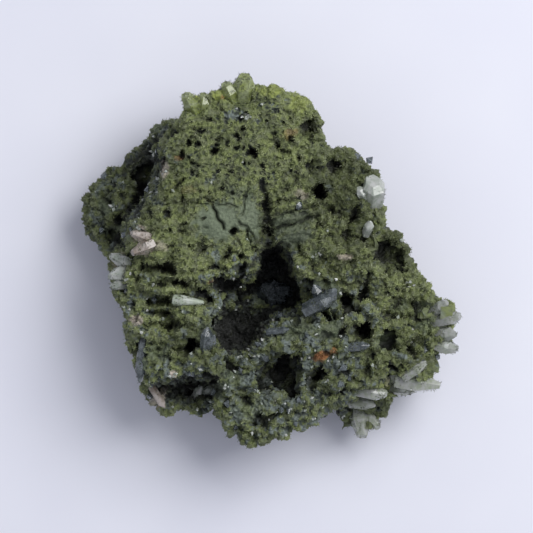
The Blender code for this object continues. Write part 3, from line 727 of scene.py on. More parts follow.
def apply_modifiers(thing: bpy.types.Object) -> None:
    """Gives an object the mesh that its modifiers make, and takes them off."""
    graph = bpy.context.evaluated_depsgraph_get()
    mesh = bpy.data.meshes.new_from_object(thing.evaluated_get(graph))
    thing.modifiers.clear()
    thing.data = mesh


def triangles_in(thing: bpy.types.Object) -> int:
    """Counts the triangles of an object's mesh."""
    return sum(len(polygon.vertices) - 2 for polygon in thing.data.polygons)


def merged_copy(name: str, node: str) -> bpy.types.Object:
    """Copies a solid of the frame, with its loose triangles merged.

    Args:
        name: the copy's name.
        node: the solid's name.

    Returns:
        The copy, as an object of its own.
    """
    form = bmesh.new()
    form.from_mesh(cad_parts[node].data)
    bmesh.ops.remove_doubles(form, verts=form.verts, dist=0.002 * MM)
    mesh = bpy.data.meshes.new(name)
    form.to_mesh(mesh)
    form.free()
    return put_in_scene(name, mesh)


def points_of(mesh: bpy.types.Mesh, what: str = "co") -> np.ndarray:
    """Reads a vector of each vertex as rows of an array."""
    values = np.empty(3 * len(mesh.vertices), np.float32)
    source = mesh.vertices if what == "co" else mesh.vertex_normals
    source.foreach_get("co" if what == "co" else "vector", values)
    return values.reshape(-1, 3).astype(np.float64)


def paint(mesh: bpy.types.Mesh, layer: Layer, values: np.ndarray) -> None:
    """Writes a layer's values on a mesh."""
    attribute = mesh.attributes.new(layer.value, "FLOAT", "POINT")
    attribute.data.foreach_set("value", np.clip(values, 0, 1).astype(np.float32))


def pixels_at(places: np.ndarray) -> np.ndarray:
    """Gives the pixel of the photograph that each place shows at."""
    return np.stack([places[:, 0] / PIXEL + PLAN_MIDDLE[0], PLAN_MIDDLE[1] - places[:, 1] / PIXEL], axis=1)


def painted(pixels: np.ndarray, patches: tuple[Patch, ...]) -> np.ndarray:
    """Paints a set of ovals with ragged edges.

    Args:
        pixels: the pixel that each point shows at.
        patches: the ovals.

    Returns:
        The highest strength of any oval at each point.
    """
    values = np.zeros(len(pixels))
    for patch in patches:
        turn = math.radians(patch.turn)
        offset = (pixels - np.array(patch.centre)) * np.array((1, -1))
        along = (offset[:, 0] * math.cos(turn) + offset[:, 1] * math.sin(turn)) / patch.reach[0]
        aside = (-offset[:, 0] * math.sin(turn) + offset[:, 1] * math.cos(turn)) / patch.reach[1]
        gap = np.hypot(along, aside)
        for index in np.flatnonzero(gap < 1.7):
            ragged = noise.noise(Vector((*pixels[index] / 5, patch.centre[0])))
            edge = min(max((1.15 - gap[index] + 0.55 * ragged) / 0.4, 0), 1)
            values[index] = max(values[index], patch.strength * edge)
    return values


@dataclass(frozen=True)
class MossyBody:
    """The skin of the epidote mass: lumps, ribs, caverns, porous pits, furrows and a fine lace of ridges.

    Each pair of lengths is the size of a pattern and how far it moves the skin.
    """

    node: str = "epidote_body"
    voxel: float = 0.7 * MM
    soften: int = 3
    foot_height: float = 0.3 * MM  # what lies lower is the flat foot
    warp: tuple[float, float] = (5 * MM, 1.5 * MM)  # makes the lumps crooked
    block: tuple[float, float] = (5.6 * MM, 1.7 * MM)  # broken lumps
    cleft: float = 0.4  # width of the clefts between them, as a share of their size
    cavern: tuple[float, float] = (4.6 * MM, 3.4 * MM)  # holes with overhanging rims
    cavern_mouth: tuple[float, float] = (0.2, 0.36)  # the noise at their rim and at their floor
    crag: tuple[float, float] = (2.7 * MM, 1.5 * MM)
    rib: tuple[float, float] = (2.9 * MM, 3.2 * MM)
    rib_run: tuple[float, float] = (0.24, 0.3)  # stretch across and up, so that ribs run from left to right
    rib_shape: tuple[float, float] = (0.35, 2.6)  # height of the crest and steepness of the sides
    fine_warp: tuple[float, float] = (1.6 * MM, 0.45 * MM)  # makes the net and the lace crooked
    net: tuple[float, float] = (2.3 * MM, 0.5 * MM)
    lace: tuple[float, float] = (1.35 * MM, 0.5 * MM)
    grain: tuple[float, float] = (0.75 * MM, 0.22 * MM)
    line: tuple[float, float] = (0.34, 0.42)  # width of the ridges of net and lace, as a share of their size
    pore: tuple[float, float] = (2.7 * MM, 1.7 * MM)  # small holes side by side, as in a sponge
    bareness: tuple[float, float] = (3.0 * MM, 1.1 * MM)  # sizes of the large and small bare spots
    # The hollow layer, painted shade over dark rock, by how far a point lies below the land around it.
    hollow_reach: float = 7 * MM
    hollow_start: float = 1.2 * MM
    hollow_depth: float = 7.5 * MM
    sunk_depth: float = 1.5 * MM  # pits and furrows of this depth look fully dark, with painted shade
    # Crevices darkened with painted shade, by how far a point lies below the land nearer around it.
    crevice_reach: float = 4.4 * MM
    crevice_depth: float = 2.7 * MM
    wall_start: float = 32 * MM  # beyond this from the middle, what looks outward is outer wall and gets less of the hollows' painted shade
    # The swell lifts the relief on bumps and lowers it between them, which paints light on the bumps and
    # shade between them.
    swell_reach: float = 2.8 * MM
    swell_height: float = 2.2 * MM
    lowest_coat: float = 3 * MM  # the underside below this is bare and coarse
    lowest_druse: float = 6 * MM
    steepest: float = -0.2  # faces that look further down than this stay coarse
    shares: tuple[str, ...] = ("west", "middle", "east")

    def build(self) -> list[bpy.types.Object]:
        """Grows the skin, roughens it, paints its layers and splits it in pieces that stay light.

        Returns:
            The finished pieces, which stand for the solid together.
        """
        skin = merged_copy("epidote_mass", self.node)
        remesh = skin.modifiers.new("even skin", "REMESH")
        remesh.mode = "VOXEL"
        remesh.voxel_size = self.voxel
        soft = skin.modifiers.new("soften", "SMOOTH")
        soft.factor = 0.5
        soft.iterations = self.soften
        apply_modifiers(skin)
        self.break_up(skin.data)
        self.refine(skin.data)
        self.roughen(skin.data)
        skin.data.materials.append(MassiveEpidote().make())
        return self.split(skin)

    def write(self, mesh: bpy.types.Mesh, places: np.ndarray, moved: np.ndarray) -> None:
        """Moves a mesh's vertices, but leaves the foot flat on the ground.

        Args:
            mesh: the skin.
            places: where its vertices are.
            moved: where they go.
        """
        foot = places[:, 2] < self.foot_height
        moved[foot] = places[foot]
        moved[:, 2] = np.maximum(moved[:, 2], 0.0)
        mesh.vertices.foreach_set("co", moved.astype(np.float32).ravel())
        mesh.update()

    def break_up(self, mesh: bpy.types.Mesh) -> None:
        """Gives the smooth solid its broken lumps, caverns, crags and ribs.

        Args:
            mesh: the even skin, whose vertices are moved.
        """
        places = points_of(mesh)
        normals = points_of(mesh, "normal")
        pixels = pixels_at(places)
        calm = painted(pixels, CALM_PATCHES)
        ribbed = painted(pixels, RIB_PATCHES)
        cavities = painted(pixels, CAVITY_PATCHES)
        across, up = self.rib_run
        crest, sides = self.rib_shape
        rise = np.empty(len(places))
        for index, place in enumerate(places):
            point = Vector(place)
            warped = point + noise.noise_vector(point / self.warp[0]) * self.warp[1]
            near, far = noise.voronoi(warped / self.block[0], distance_metric="MANHATTAN")[0][:2]
            block = smooth_step(0.0, self.cleft, far - near) - 0.8
            cavern = smooth_step(*self.cavern_mouth, noise.noise(warped / self.cavern[0]))
            crag = 0.5 - abs(noise.noise(warped / self.crag[0])) * 2
            rough = (1 - calm[index]) * (1 - 0.6 * ribbed[index])
            rise[index] = -cavities[index] * MM * min(max(normals[index][2] * 2, 0), 1)
            rise[index] += rough * (self.block[1] * block - self.cavern[1] * cavern + self.crag[1] * crag)
            if ribbed[index] > 0:
                along = Vector((warped.x * across, warped.y, warped.z * up)) / self.rib[0]
                rib = crest - abs(noise.noise(along)) * sides
                rise[index] += ribbed[index] * self.rib[1] * rib
        self.write(mesh, places, places + normals * rise[:, None])

    def refine(self, mesh: bpy.types.Mesh) -> None:
        """Cuts the faces that can be seen from above in four, and softens the result."""
        form = bmesh.new()
        form.from_mesh(mesh)
        seen = [
            face
            for face in form.faces
            if face.normal.z > self.steepest and face.calc_center_median().z > self.lowest_coat
        ]
        edges = list({edge for face in seen for edge in face.edges})
        bmesh.ops.subdivide_edges(form, edges=edges, cuts=1, use_grid_fill=True)
        bmesh.ops.smooth_vert(
            form, verts=form.verts, factor=0.35, use_axis_x=True, use_axis_y=True, use_axis_z=True
        )
        form.to_mesh(mesh)
        form.free()

    def roughen(self, mesh: bpy.types.Mesh) -> None:
        """Raises the fine net, lace and grain, sinks pits and furrows, and paints the layers.

        Args:
            mesh: the refined skin, whose vertices are moved and painted.
        """
        places = points_of(mesh)
        normals = points_of(mesh, "normal")
        pixels = pixels_at(places)
        stone = painted(pixels, STONE_PATCHES)
        sponge = painted(pixels, SPONGE_PATCHES)
        relief = np.empty(len(places))
        rise = np.empty(len(places))
        spread = np.empty(len(places))
        sunk = np.zeros(len(places))
        net_line, lace_line = self.line
        large, small = self.bareness
        for index, place in enumerate(places):
            point = Vector(place)
            warped = point + noise.noise_vector(point / self.fine_warp[0]) * self.fine_warp[1]
            near, far = noise.voronoi(warped / self.net[0])[0][:2]
            net = 1 - min((far - near) / net_line, 1)
            close, away = noise.voronoi(warped / self.lace[0])[0][:2]
            lace = 1 - min((away - close) / lace_line, 1)
            grain = noise.noise(point / self.grain[0])
            spread[index] = 0.5 + 0.5 * noise.noise(point / large) + 0.22 * noise.noise(point / small)
            calm = 1 - 0.85 * stone[index]
            # The relief sets the colours too: partly painted shade in the pits and painted light on the
            # ridges.
            relief[index] = calm * (0.42 * net + 0.5 * lace) + 0.22 * grain + 0.1
            rise[index] = self.grain[1] * grain * (0.35 + 0.65 * calm)
            rise[index] += calm * (self.net[1] * (net - 0.4) + self.lace[1] * (lace - 0.4))
            if sponge[index] > 0.2:
                spots, homes = noise.voronoi(Vector((point.x, point.y, 0)) / self.pore[0])
                size = 0.1 + 0.2 * noise.cell(homes[0] * 9)
                sunk[index] = sponge[index] * self.pore[1] * smooth_step(size + 0.06, size - 0.06, spots[0])
        upward = np.clip(normals[:, 2] * 1.6, 0, 1)
        bent = self.bent(pixels)
        sunk = np.maximum(sunk, np.maximum(self.pit_depth(bent), self.furrow_depth(bent))) * upward
        moved = places + normals * rise[:, None]
        moved[:, 2] -= sunk
        self.write(mesh, places, moved)
        self.paint_layers(mesh, moved, normals, pixels, stone, spread, relief, sunk)

    def bent(self, pixels: np.ndarray) -> np.ndarray:
        """Shifts each pixel a little, so that what is drawn there comes out crooked."""
        shifts = [noise.noise_vector(Vector((*pixel, 0)) / 9)[:2] for pixel in pixels]
        return pixels + np.array(shifts) * 3.5

    def pit_depth(self, pixels: np.ndarray) -> np.ndarray:
        """Gives how deep each point lies in a round pit."""
        depth = np.zeros(len(pixels))
        for across, down, radius in PITS:
            gap = np.linalg.norm(pixels - np.array((across, down)), axis=1) / radius
            depth = np.maximum(depth, PIT_DEPTH * radius * PIXEL * np.clip(1.2 - gap**4, 0, 1))
        return depth

    def furrow_depth(self, pixels: np.ndarray) -> np.ndarray:
        """Gives how deep each point lies in a furrow."""
        depth = np.zeros(len(pixels))
        for start, end, half_width, most in FURROWS:
            along = np.array(end, float) - np.array(start, float)
            offset = pixels - np.array(start, float)
            share = np.clip(offset @ along / (along @ along), 0, 1)
            gap = np.linalg.norm(offset - share[:, None] * along, axis=1) * PIXEL / (half_width * MM)
            depth = np.maximum(depth, most * MM * np.exp(-(gap**2)))
        return depth

    def above_land(self, places: np.ndarray, reach: float) -> np.ndarray:
        """Works out how far each point stands above the mean height of the land around it.

        Args:
            places: the points.
            reach: how far the land around reaches, in metres.

        Returns:
            The height above that mean, in metres.
        """
        step = reach / 7
        cells = np.floor((places[:, :2] - places[:, :2].min(axis=0)) / step).astype(int)
        top = np.zeros(cells.max(axis=0) + 1)
        np.maximum.at(top, (cells[:, 0], cells[:, 1]), places[:, 2])
        edge = int(round(reach / step))
        padded = np.pad(top, edge, mode="edge")
        around = np.zeros_like(top)
        total = 0
        for dx in range(-edge, edge + 1):
            for dy in range(-edge, edge + 1):
                if dx * dx + dy * dy > edge * edge:
                    continue
                around += padded[edge + dx :, edge + dy :][: top.shape[0], : top.shape[1]]
                total += 1
        return places[:, 2] - (around / total)[cells[:, 0], cells[:, 1]]

    def paint_layers(
        self,
        mesh: bpy.types.Mesh,
        places: np.ndarray,
        normals: np.ndarray,
        pixels: np.ndarray,
        stone: np.ndarray,
        spread: np.ndarray,
        relief: np.ndarray,
        sunk: np.ndarray,
    ) -> None:
        """Paints every layer on the skin.

        Args:
            mesh: the skin.
            places: where its vertices are.
            normals: which way each looks.
            pixels: the pixel that each shows at.
            stone: how much of it is smooth sheet.
            spread: the noise that says where the moss leaves it bare.
            relief: how far it stands out in the fine pattern.
            sunk: how deep it lies in a pit or a furrow, in metres.
        """
        upper = np.clip(normals[:, 2] * 2 + 0.6, 0, 1)
        # The hollow layer is painted shade over rock that is dark there too: below the land around, in pits
        # and furrows, in the darkest patches and in crevices.
        below = -self.above_land(places, self.hollow_reach) - self.hollow_start
        hollow = np.clip(below / self.hollow_depth, 0, 1) * upper
        hollow = np.maximum(hollow, np.clip(sunk / self.sunk_depth, 0, 1) * 0.8)
        hollow = np.maximum(hollow, painted(pixels, DARK_AND_SHADE_PATCHES))
        crevice_shade = np.clip(-self.above_land(places, self.crevice_reach) / self.crevice_depth - 0.08, 0, 0.9)
        hollow = np.maximum(hollow, crevice_shade)
        # Outer walls get less of that painted shade.
        from_middle = np.linalg.norm(places[:, :2], axis=1)
        outward = np.sum(places[:, :2] * normals[:, :2], axis=1) / np.maximum(from_middle, MM)
        wall = np.clip(outward * 2.4 - 0.5, 0, 1) * np.clip(from_middle / self.wall_start - 1, 0, 0.2) * 5
        hollow = hollow * (1 - 0.8 * wall)
        stone = stone * upper
        blush = painted(pixels, BLUSH_PATCHES) * upper
        under = np.clip(-normals[:, 2] * 2 - 0.2, 0, 1)
        swell = np.clip(0.5 + self.above_land(places, self.swell_reach) / self.swell_height, 0, 1)
        # The relief rises on swells and sinks between them: painted light on the bumps, painted shade in the
        # lows.
        relief = relief + 0.55 * (swell - 0.5) * (1 - stone)
        least = 0.3 + 0.56 * painted(pixels, SPARSE_PATCHES)
        bare = 1 - np.clip((spread + 0.5 * (swell - 0.5) + 0.3 * (relief - 0.5) - least) / 0.1 + 0.5, 0, 1)
        crest = np.clip(relief * 1.5 - 0.15, 0.03, 1) * (0.25 + 1.1 * swell)
        coat = crest * (1 - 0.92 * stone) * (1 - 0.8 * hollow) * (1 - 0.6 * blush)
        coat = coat * (1 - under) * (1 - 0.96 * bare)
        coat[places[:, 2] < self.lowest_coat] = 0
        paint(mesh, Layer.RELIEF, relief)
        paint(mesh, Layer.HOLLOW, hollow)
        paint(mesh, Layer.STONE, stone)
        paint(mesh, Layer.BARE, bare * (1 - stone))
        # Painted shade with a deeper green.
        paint(mesh, Layer.GLOOM, painted(pixels, DEEP_GREEN_AND_SHADE_PATCHES))
        # Painted light on the see-through rims, over their yellow-green.
        paint(mesh, Layer.GLOW, painted(pixels, LIT_YELLOW_GREEN_PATCHES) * upper)
        paint(mesh, Layer.RUST, painted(pixels, RUST_PATCHES) * upper)
        paint(mesh, Layer.BLUSH, blush)
        paint(mesh, Layer.COAT, coat)
        paint(mesh, Layer.GLINT, painted(pixels, GLINT_PATCHES) * upper)
        high = places[:, 2] > self.lowest_druse
        paint(mesh, Layer.DRUSE, bare * upper * (1 - stone) * (1 - hollow) ** 2 * high)

    def split(self, skin: bpy.types.Object) -> list[bpy.types.Object]:
        """Cuts the skin from left to right in pieces of as many faces each, and closes the cuts.

        Args:
            skin: the finished skin, which isn't kept.

        Returns:
            The pieces.
        """
        across = np.sort([polygon.center.x for polygon in skin.data.polygons])
        count = len(self.shares)
        cuts = [across[int(len(across) * number / count)] for number in range(1, count)]
        limits = [-math.inf, *cuts, math.inf]
        pieces = []
        for name, left, right in zip(self.shares, limits, limits[1:]):
            form = bmesh.new()
            form.from_mesh(skin.data)
            for place, way in ((left, -1), (right, 1)):
                if math.isinf(place):
                    continue
                geometry = form.verts[:] + form.edges[:] + form.faces[:]
                bmesh.ops.bisect_plane(
                    form, geom=geometry, plane_co=(place, 0, 0), plane_no=(way, 0, 0), clear_outer=True
                )
                rim = [edge for edge in form.edges if edge.is_boundary]
                bmesh.ops.holes_fill(form, edges=rim, sides=0)
            mesh = bpy.data.meshes.new("epidote_mass_" + name)
            form.to_mesh(mesh)
            form.free()
            pieces.append(put_in_scene(mesh.name, mesh, skin.data.materials[0]))
        bpy.data.objects.remove(skin)
        return pieces


@dataclass(frozen=True)
class NeedleCoat:
    """A mat of one kind of small crystal, strewn over the body's skin and joined in one mesh.

    Args:
        name: the piece's name.
        density: how many stand on a square millimetre where the coat is full.
        length: shortest and longest, in metres.
        width: thinnest and thickest, in metres.
        lift: 0 lays them along the skin, and 2 stands them up.
        seed: of their places and turns.
        sides: how many flat sides each has.
        ground: the layer that says where they grow.
    """

    name: str
    density: float
    length: tuple[float, float]
    width: tuple[float, float]
    lift: float
    seed: int
    sides: int = 3
    ground: Layer = Layer.COAT
    cells: int = 190  # needles along one side of the bake sheet

    def needle(self) -> bpy.types.Object:
        """Makes one crystal, a metre long and a metre thick, with a point at each end.

        Returns:
            The crystal, hidden, for the tree to copy.
        """
        form = bmesh.new()
        bmesh.ops.create_cone(form, segments=self.sides, radius1=0.5, radius2=0, depth=0.62, cap_ends=True)
        bmesh.ops.translate(form, verts=form.verts, vec=(0, 0, 0.69))
        base = min(form.faces, key=lambda face: face.calc_center_median().z)
        foot = bmesh.ops.poke(form, faces=[base])["verts"]
        bmesh.ops.translate(form, verts=foot, vec=(0, 0, -0.38))
        sheet = form.loops.layers.uv.new("OFBake")
        for face in form.faces:
            middle = face.calc_center_median()
            spread = 0.25 + 0.2 * math.cos(math.atan2(middle.y, middle.x))
            for loop in face.loops:
                across = 0.1 + 0.8 * (0.5 + 0.5 * loop.vert.co.x) * spread * 2
                loop[sheet].uv = (across, 0.1 + 0.8 * loop.vert.co.z)
        mesh = bpy.data.meshes.new(self.name + "_one")
        form.to_mesh(mesh)
        form.free()
        one = put_in_scene(self.name + "_one", mesh)
        one.hide_render = True
        return one

    def tree(self, one: bpy.types.Object) -> bpy.types.NodeTree:
        """Builds the node tree that strews the crystals.

        Args:
            one: the crystal to copy.

        Returns:
            The geometry tree.
        """
        tree = bpy.data.node_groups.new(self.name, "GeometryNodeTree")
        tree.interface.new_socket("Geometry", in_out="INPUT", socket_type="NodeSocketGeometry")
        tree.interface.new_socket("Geometry", in_out="OUTPUT", socket_type="NodeSocketGeometry")
        skin = add_node(tree, "NodeGroupInput")
        coat = add_node(tree, "GeometryNodeInputNamedAttribute", FLOAT, Name=self.ground.value)
        density = add_node(tree, "ShaderNodeMath", MULTIPLY, _0=coat, _1=self.density / MM**2)
        strewn = add_node(
            tree, "GeometryNodeDistributePointsOnFaces", None, Mesh=skin, Density=density, Seed=self.seed
        )
        shade = add_node(tree, "FunctionNodeRandomValue", FLOAT, Seed=self.seed + 1)
        number = add_node(tree, "GeometryNodeInputIndex")
        points = strewn.outputs["Points"]
        for name, value in (("shade", shade), ("needle", number)):
            points = add_node(
                tree, "GeometryNodeStoreNamedAttribute", FLOAT, Geometry=points, Name=name, Value=value
            )
        lean = add_node(
            tree, "FunctionNodeRandomValue", VECTOR, _0=(-1, -1, -1), _1=(1, 1, 1), Seed=self.seed + 2
        )
        up = add_node(tree, "ShaderNodeVectorMath", SCALE, _0=strewn.outputs["Normal"], Scale=self.lift)
        way = add_node(tree, "ShaderNodeVectorMath", {"operation": "ADD"}, _0=up, _1=lean)
        turn = add_node(tree, "FunctionNodeAlignRotationToVector", {"axis": "Z"}, Vector=way)
        least = (self.width[0], self.width[0], self.length[0])
        most = (self.width[1], self.width[1], self.length[1])
        size = add_node(tree, "FunctionNodeRandomValue", VECTOR, _0=least, _1=most, Seed=self.seed + 3)
        copied = add_node(tree, "GeometryNodeObjectInfo", None, Object=one).outputs["Geometry"]
        placed = add_node(
            tree,
            "GeometryNodeInstanceOnPoints",
            None,
            Points=points,
            Instance=copied,
            Rotation=turn,
            Scale=size,
        )
        real = add_node(tree, "GeometryNodeRealizeInstances", None, Geometry=placed)
        add_node(tree, "NodeGroupOutput", None, _0=self.on_bake_sheet(tree, real))
        return tree

    def on_bake_sheet(self, tree: bpy.types.NodeTree, real: Any) -> Any:
        """Gives each crystal a cell of its own on the bake sheet.

        Args:
            tree: the geometry tree.
            real: the node with the crystals as real meshes.

        Returns:
            The node with the same crystals and their places on the sheet.
        """
        local = add_node(tree, "GeometryNodeInputNamedAttribute", VECTOR, Name="OFBake")
        number = add_node(tree, "GeometryNodeInputNamedAttribute", FLOAT, Name="needle")
        column = add_node(tree, "ShaderNodeMath", {"operation": "MODULO"}, _0=number, _1=self.cells)
        share = add_node(tree, "ShaderNodeMath", {"operation": "DIVIDE"}, _0=number, _1=self.cells)
        row = add_node(tree, "ShaderNodeMath", {"operation": "FLOOR"}, _0=share)
        cell = add_node(tree, "ShaderNodeCombineXYZ", None, _0=column, _1=row)
        place = add_node(tree, "ShaderNodeVectorMath", {"operation": "ADD"}, _0=local, _1=cell)
        sheet = add_node(tree, "ShaderNodeVectorMath", SCALE, _0=place, Scale=1 / self.cells)
        settings = {"data_type": "FLOAT2", "domain": "CORNER"}
        return add_node(
            tree, "GeometryNodeStoreNamedAttribute", settings, Geometry=real, Name="OFBake", Value=sheet
        )

    def build(self, skins: list[bpy.types.Object], material: bpy.types.Material) -> bpy.types.Object:
        """Strews the coat over the skins.

        Args:
            skins: the meshes that the coat grows on.
            material: the finish of every crystal.

        Returns:
            The coat, as one mesh.
        """
        one = self.needle()
        form = bmesh.new()
        for skin in skins:
            form.from_mesh(skin.data)
        closed_cuts = [face for face in form.faces if len(face.verts) > 4]
        bmesh.ops.delete(form, geom=closed_cuts, context="FACES_ONLY")
        mesh = bpy.data.meshes.new(self.name)
        form.to_mesh(mesh)
        form.free()
        coat = put_in_scene(self.name, mesh)
        strew = coat.modifiers.new("strew", "NODES")
        strew.node_group = self.tree(one)
        apply_modifiers(coat)
        coat.data.materials.clear()
        coat.data.materials.append(material)
        bpy.data.objects.remove(one)
        return coat


@dataclass(frozen=True)
class QuartzGroup:
    """One crystal or a group grown together: the solid's flat faces with their edges worn round.

    Args:
        node: the solid that it stands for.
        finish: its kind of quartz.
        edge: how far its edges are worn back, in metres.
        moss: the share of it that moss has grown over.
        slot: the name that its finish would go by on the object; not used.
    """

    node: str
    finish: Quartz
    edge: float = 0.14 * MM
    moss: float = 0.0
    slot: str = "clear_quartz"
    flat: float = math.radians(2)  # faces that meet at less are one face
    sharp: float = 0.3  # edges that turn by more, in radians, are worn
    moss_size: float = 2.4 * MM
    moss_thickness: float = 0.9

    def mossy_skin(self, piece: bpy.types.Object) -> bpy.types.Object:
        """Makes a fine copy of the crystal that says where moss grows on it.

        Args:
            piece: the finished crystal.

        Returns:
            The copy, for the coats to grow on, which isn't kept.
        """
        form = bmesh.new()
        form.from_mesh(piece.data)
        for _ in range(3):
            bmesh.ops.subdivide_edges(form, edges=form.edges, cuts=1, use_grid_fill=True)
        mesh = bpy.data.meshes.new(self.node + "_moss")
        form.to_mesh(mesh)
        form.free()
        cover = []
        for vertex in mesh.vertices:
            bareness = noise.noise(vertex.co / self.moss_size) + 1 - self.moss
            cover.append(smooth_step(0.62, 0.38, bareness))
        cover = np.maximum(cover, painted(pixels_at(points_of(mesh)), MOSS_PATCHES))
        paint(mesh, Layer.COAT, cover * self.moss_thickness)
        return put_in_scene(mesh.name, mesh)

    def build(self) -> bpy.types.Object:
        """Rounds the edges of a copy of the solid.

        Returns:
            The crystal piece that stands for the solid.
        """
        piece = merged_copy(self.node + "_crystal", self.node)
        form = bmesh.new()
        form.from_mesh(piece.data)
        bmesh.ops.dissolve_limit(form, angle_limit=self.flat, verts=form.verts, edges=form.edges)
        worn = [
            edge
            for edge in form.edges
            if len(edge.link_faces) == 2 and edge.calc_face_angle(0) > self.sharp
        ]
        bmesh.ops.bevel(
            form,
            geom=worn,
            offset=self.edge,
            segments=1,
            profile=0.5,
            affect="EDGES",
            material=-1,
            clamp_overlap=True,
        )
        bmesh.ops.triangulate(form, faces=form.faces)
        form.to_mesh(piece.data)
        form.free()
        return piece


QUARTZ_GROUPS = (
    QuartzGroup("quartz_block", FROSTED_QUARTZ, moss=0.25),
    QuartzGroup("quartz_right_tip", CLEAR_QUARTZ, moss=0.4),
    QuartzGroup("quartz_lower_right", PALE_QUARTZ, moss=0.34),
    QuartzGroup("quartz_lens", PALE_QUARTZ, 0.4 * MM, 0.35),
    QuartzGroup("quartz_slab", PALE_QUARTZ, 0.4 * MM, 0.4),
    QuartzGroup("quartz_knob_tip", PALE_QUARTZ, moss=0.36),
    QuartzGroup("quartz_left_lens", SMOKY_QUARTZ, 0.5 * MM, 0.36),
    QuartzGroup("quartz_left_lumps", FROSTED_QUARTZ, 0.5 * MM, 0.6),
    QuartzGroup("quartz_small_prism", FROSTED_QUARTZ),
    QuartzGroup("quartz_top_left", GREEN_QUARTZ, 0.6 * MM, 0.75),
    QuartzGroup("quartz_top", GREEN_QUARTZ, 0.6 * MM, 0.8),
    QuartzGroup("quartz_centre", SMOKY_QUARTZ, moss=0.36),
    QuartzGroup("quartz_west", SMOKY_QUARTZ, moss=0.4),
    QuartzGroup("quartz_east", SMOKY_QUARTZ, moss=0.4),
    QuartzGroup("quartz_ridge", SMOKY_QUARTZ, moss=0.4),
    QuartzGroup("quartz_south", FROSTED_QUARTZ),
    QuartzGroup("hollow_crust", SMOKY_QUARTZ),
    QuartzGroup("milky_spike", MILKY_QUARTZ, 0.3 * MM, 0.4, "milky_quartz"),
    QuartzGroup("quartz_pink", PINK_QUARTZ, 0.4 * MM, 0.56, "milky_quartz"),
    QuartzGroup("quartz_lower_left", PINK_QUARTZ, moss=0.3, slot="milky_quartz"),
)

# Needles and crumbs of epidote, which the eye takes for moss, and then small quartz where the rock is bare.
EPIDOTE_COATS = (
    NeedleCoat("lime_strands", 0.98, (0.55 * MM, 1.2 * MM), (0.12 * MM, 0.24 * MM), 0.25, 11),
    NeedleCoat("fine_strands", 0.98, (0.45 * MM, 1.0 * MM), (0.12 * MM, 0.24 * MM), 0.5, 21),
    NeedleCoat("olive_crumbs", 0.98, (0.3 * MM, 0.65 * MM), (0.2 * MM, 0.38 * MM), 0.7, 31),
)
QUARTZ_COATS = {
    NeedleCoat(
        "quartz_druse", 0.05, (0.7 * MM, 1.8 * MM), (0.6 * MM, 1.2 * MM), 1.0, 41, 6, Layer.DRUSE, 60
    ): FROSTED_QUARTZ,
    NeedleCoat(
        "white_crystals", 0.7, (0.8 * MM, 1.7 * MM), (0.7 * MM, 1.4 * MM), 1.0, 61, 6, Layer.GLINT, 30
    ): FROSTED_QUARTZ,
    NeedleCoat(
        "grey_quartz_facets", 0.014, (1.6 * MM, 3.4 * MM), (1.4 * MM, 2.8 * MM), 1.3, 51, 6, Layer.DRUSE, 40
    ): SMOKY_QUARTZ,
}


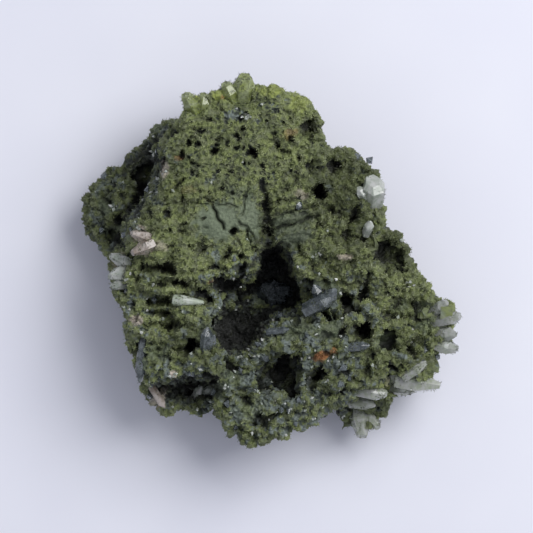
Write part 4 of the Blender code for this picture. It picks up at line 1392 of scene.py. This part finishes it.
@dataclass(frozen=True)
class Studio:
    """The pale floor, the soft light from the upper right and the camera straight above."""

    floor_side: float = 3.0
    camera_height: float = 2.0
    rim_height: float = 25 * MM  # the height at which the photograph's scale holds
    light_side: float = 0.75
    light_place: tuple[float, float, float] = (0.55, 0.45, 0.9)
    light_power: float = 10.2
    sky: str = "E6E9F6"
    sky_strength: float = 0.5

    def floor(self) -> bpy.types.Object:
        """Lays the floor under the foot."""
        form = bmesh.new()
        bmesh.ops.create_grid(form, x_segments=4, y_segments=4, size=self.floor_side / 2)
        mesh = bpy.data.meshes.new("floor")
        form.to_mesh(mesh)
        form.free()
        return put_in_scene("floor", mesh, PaleFloor().make())

    def light(self) -> None:
        """Hangs the soft light and fills in with the sky."""
        lamp = bpy.data.lights.new("softbox", "AREA")
        lamp.shape = "SQUARE"
        lamp.size = self.light_side
        lamp.energy = self.light_power
        thing = bpy.data.objects.new("softbox", lamp)
        thing.location = self.light_place
        thing.rotation_euler = (-Vector(self.light_place)).to_track_quat("-Z", "Y").to_euler()
        bpy.context.scene.collection.objects.link(thing)
        world = bpy.data.worlds.new("soft_sky")
        world.use_nodes = True
        sky = world.node_tree.nodes["Background"]
        sky.inputs["Color"].default_value = srgb(self.sky)
        sky.inputs["Strength"].default_value = self.sky_strength
        bpy.context.scene.world = world

    def camera(self) -> None:
        """Sets the long lens that looks straight down."""
        lens = bpy.data.cameras.new("camera")
        lens.sensor_width = 36.0
        view = IMAGE_SIDE * PIXEL
        lens.lens = lens.sensor_width * (self.camera_height - self.rim_height) / view
        lens.clip_end = 10.0
        thing = bpy.data.objects.new("camera", lens)
        thing.location = plan(IMAGE_SIDE / 2, IMAGE_SIDE / 2, self.camera_height)
        bpy.context.scene.collection.objects.link(thing)
        bpy.context.scene.camera = thing
        bpy.context.scene.view_settings.view_transform = "Standard"


def present(piece: bpy.types.Object, node: str | None = None) -> None:
    """Puts a finished piece on the object and logs it.

    Args:
        piece: the piece.
        node: the solid that it stands for, if any.
    """
    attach(piece, "root")
    if node:
        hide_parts(node)
    LOG.info("%s: %d triangles", piece.name, triangles_in(piece))


def main() -> None:
    """Builds the looks in order: body, crystals, coats, studio."""
    logging.basicConfig(level=logging.INFO, format="%(name)s: %(message)s")
    noise.seed_set(SEED)
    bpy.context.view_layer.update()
    body = MossyBody()
    skins = body.build()
    for skin in skins:
        present(skin, body.node)
    kinds = dict.fromkeys(group.finish for group in QUARTZ_GROUPS)
    finishes = {finish: finish.make() for finish in kinds}
    grounds = list(skins)
    for group in QUARTZ_GROUPS:
        piece = group.build()
        piece.data.materials.append(finishes[group.finish])
        present(piece, group.node)
        if group.moss:
            grounds.append(group.mossy_skin(piece))
    needles = EpidoteNeedles().make()
    for coat in EPIDOTE_COATS:
        present(coat.build(grounds, needles))
    for ground in grounds[len(skins) :]:
        bpy.data.objects.remove(ground)
    for coat, finish in QUARTZ_COATS.items():
        present(coat.build(skins, finishes[finish]))
    studio = Studio()
    studio.floor()
    studio.light()
    studio.camera()


if __name__ == "__main__":
    main()
